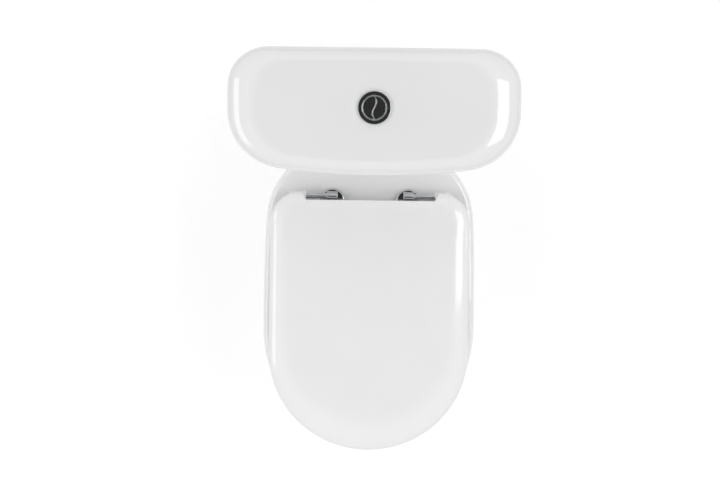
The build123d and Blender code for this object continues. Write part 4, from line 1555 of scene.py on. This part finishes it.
@dataclass
class FlushButton:
    """The round push button: a polished ring on the bezel and two halves parted along an S.

    Attributes:
        swing: How far the parting swings to each side.
        gap: Width of the parting.
        edge: Roll of the halves' upper edge.
        dish: How far their tops dip.
        heart: X and Y from the button's axis to the point that the right half's rings shrink to.
        ring_bore: Inner radius of the ring.
        ring_margin: How far the ring stands in from the bezel's edge.
        ring_seat: How far its flanks start below the bezel's top.
        ring_depth: How deep it is let into the bezel.
        ring_top: Height of its rounded top over its flanks.
        ring_power: How square that top is.
    """

    swing: float = 0.0025
    gap: float = 0.0004
    edge: float = 0.0006
    dish: float = 0.00006
    heart: Pair = (0.0075, 0.0020)
    ring_bore: float = 0.0160
    ring_margin: float = 0.0004
    ring_seat: float = 0.0002
    ring_depth: float = 0.0008
    ring_top: float = 0.0007
    ring_power: float = 0.22

    def half(self, side: int, node: str, body: str) -> bpy.types.Object:
        """Make one half: the arc of its circle, closed by an S and turned for the other half.

        The S is x = gap / 2 + swing sin(pi y / radius). The top dips towards its heart by the dish times the
        square of the way in.

        Args:
            side: 1 for the right half, -1 for the left.
            node: CAD node that it stands for.
            body: CAD body that it moves with.

        Returns:
            The half.
        """
        low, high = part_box(node)
        axis = np.array(button_axis())
        radius = 0.5 * (high.y - low.y)
        y = np.linspace(radius, -radius, 90)
        x = self.gap / 2 + self.swing * np.sin(math.pi * y / radius)
        y = y * np.sqrt(np.clip(1.0 - (x / radius) ** 2, 0.0, 1.0))
        start, end = math.degrees(math.atan2(y[-1], x[-1])), math.degrees(math.atan2(y[0], x[0]))
        round_side = arc((0.0, 0.0), (radius, radius), start, end, 120)
        flat = np.vstack([round_side, np.stack([x, y], axis=1)[1:-1]]) * side + axis
        line = Outline(flat, tuple(axis + side * np.array(self.heart)))
        rings = [Ring(line, low.z, 0.0), Ring(line, low.z, 0.6), Ring(line, low.z, crease=True)]
        rings += [Ring(line, 0.5 * (low.z + high.z)), *rolled(line, high.z, (self.edge, -self.edge), count=8)]
        top = line.inset(self.edge)
        shares = (0.9, 0.75, 0.55, 0.3, 0.0)
        rings += [Ring(top, high.z - self.dish * (1.0 - share) ** 2, share) for share in shares]
        piece = skin(f"{node}_cap", stacked(rings, line.bearings(count=240)), Slot.CHROME, body, capped=True)
        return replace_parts(piece, node)

    def ring(self) -> bpy.types.Object:
        """Turn the ring: its section is ring_top * sin(a) ** ring_power from flank to flank over a flat foot.

        Returns:
            The ring, added to the bezel.
        """
        low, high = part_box("button_bezel")
        rim = 0.5 * (high.x - low.x) - self.ring_margin
        half = 0.5 * (rim - self.ring_bore)
        flank, foot = high.z - self.ring_seat, high.z - self.ring_depth
        middle, power = self.ring_bore + half, self.ring_power
        profile = [
            (middle + half * math.cos(a), flank + self.ring_top * max(math.sin(a), 0.0) ** power)
            for a in np.linspace(0.0, math.pi, 17)
        ]
        profile += [(self.ring_bore, foot), (rim, foot)]
        return turned("bezel_ring", profile, button_axis(), Slot.CHROME, "lid", count=192)

    def build(self) -> List[bpy.types.Object]:
        """Make both halves and the ring round them.

        Returns:
            The pieces.
        """
        return [
            self.ring(),
            self.half(1, "full_flush_button", "full_button"),
            self.half(-1, "half_flush_button", "half_button"),
        ]


@dataclass
class Springs:
    """The coil springs under the two button halves.

    Attributes:
        wire: Thickness of the wire.
        turns: Turns of the helix.
        travel: How much shorter a spring gets. Not used.
        steps: Rings along the wire.
        count: Points round the wire.
    """

    wire: float = 0.0009
    turns: float = 4.0
    travel: float = 0.0061
    steps: int = 260
    count: int = 14

    def coil(self, node: str) -> bpy.types.Object:
        """Run a round wire along a helix.

        The line is middle + radius (cos w, sin w) with w = 2 pi turns t, rising evenly with t. Each ring of
        the wire lies across the line, between the outward way and the way square to that and to the line.

        Args:
            node: CAD node that it stands for.

        Returns:
            The spring.
        """
        low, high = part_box(node)
        radius = 0.5 * (high.y - low.y) - self.wire / 2
        middle = np.array([0.5 * (low.x + high.x), 0.5 * (low.y + high.y), low.z + self.wire / 2])
        height = high.z - low.z
        length = height - self.wire
        t = np.linspace(0.0, 1.0, self.steps)[:, None]
        w = 2.0 * math.pi * self.turns * t
        outward = np.hstack([np.cos(w), np.sin(w), np.zeros_like(w)])
        line = middle + outward * radius + np.array([0.0, 0.0, 1.0]) * length * t
        slope = length / (2.0 * math.pi * self.turns * radius)
        along = np.hstack([-np.sin(w), np.cos(w), np.full_like(w, slope)])
        along /= np.linalg.norm(along, axis=1, keepdims=True)
        square = np.cross(along, outward)
        a = np.linspace(0.0, 2.0 * math.pi, self.count, endpoint=False)[None, :, None]
        ring = (np.cos(a) * outward[:, None, :] + np.sin(a) * square[:, None, :]) * self.wire / 2
        grid = line[:, None, :] + ring
        ends = [np.repeat(line[end][None, None, :], self.count, axis=1) for end in (0, -1)]
        grid = np.concatenate([ends[0], grid, ends[1]])
        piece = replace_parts(skin(f"{node}_coil", grid, Slot.STEEL, "lid", capped=True), node)
        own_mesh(piece)
        return piece

    def build(self) -> List[bpy.types.Object]:
        """Wind both springs.

        Returns:
            The springs.
        """
        return [self.coil("full_flush_spring"), self.coil("half_flush_spring")]


def button_axis() -> Pair:
    """X and Y of the flush button's upright axis."""
    low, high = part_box("button_bezel")
    return 0.5 * (low.x + high.x), 0.5 * (low.y + high.y)


def main() -> None:
    """Build the looks round the frame and finish the scene."""
    logging.basicConfig(level=logging.INFO, format="%(name)s: %(message)s")
    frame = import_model()
    wardrobe = Wardrobe()
    slots = {slot.value: slot for slot in Slot}
    for node in frame["nodes"].values():
        wardrobe.dress(node, slots[node.data.materials[0].name.split(".")[0]])
        log.info("CAD node %s: dressed", node.name)
    cover = SeatCover()
    for assembly in (CisternLid(), cover, SeatRing(cover), Hinges(cover), FlushButton(), Springs()):
        for piece in assembly.build():
            wardrobe.dress(piece, slots[piece["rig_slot"]])
            mesh = piece.data
            log.info("%s: %d points, %d faces", piece.name, len(mesh.vertices), len(mesh.polygons))
    Studio().set_up()


if __name__ == "__main__":
    main()
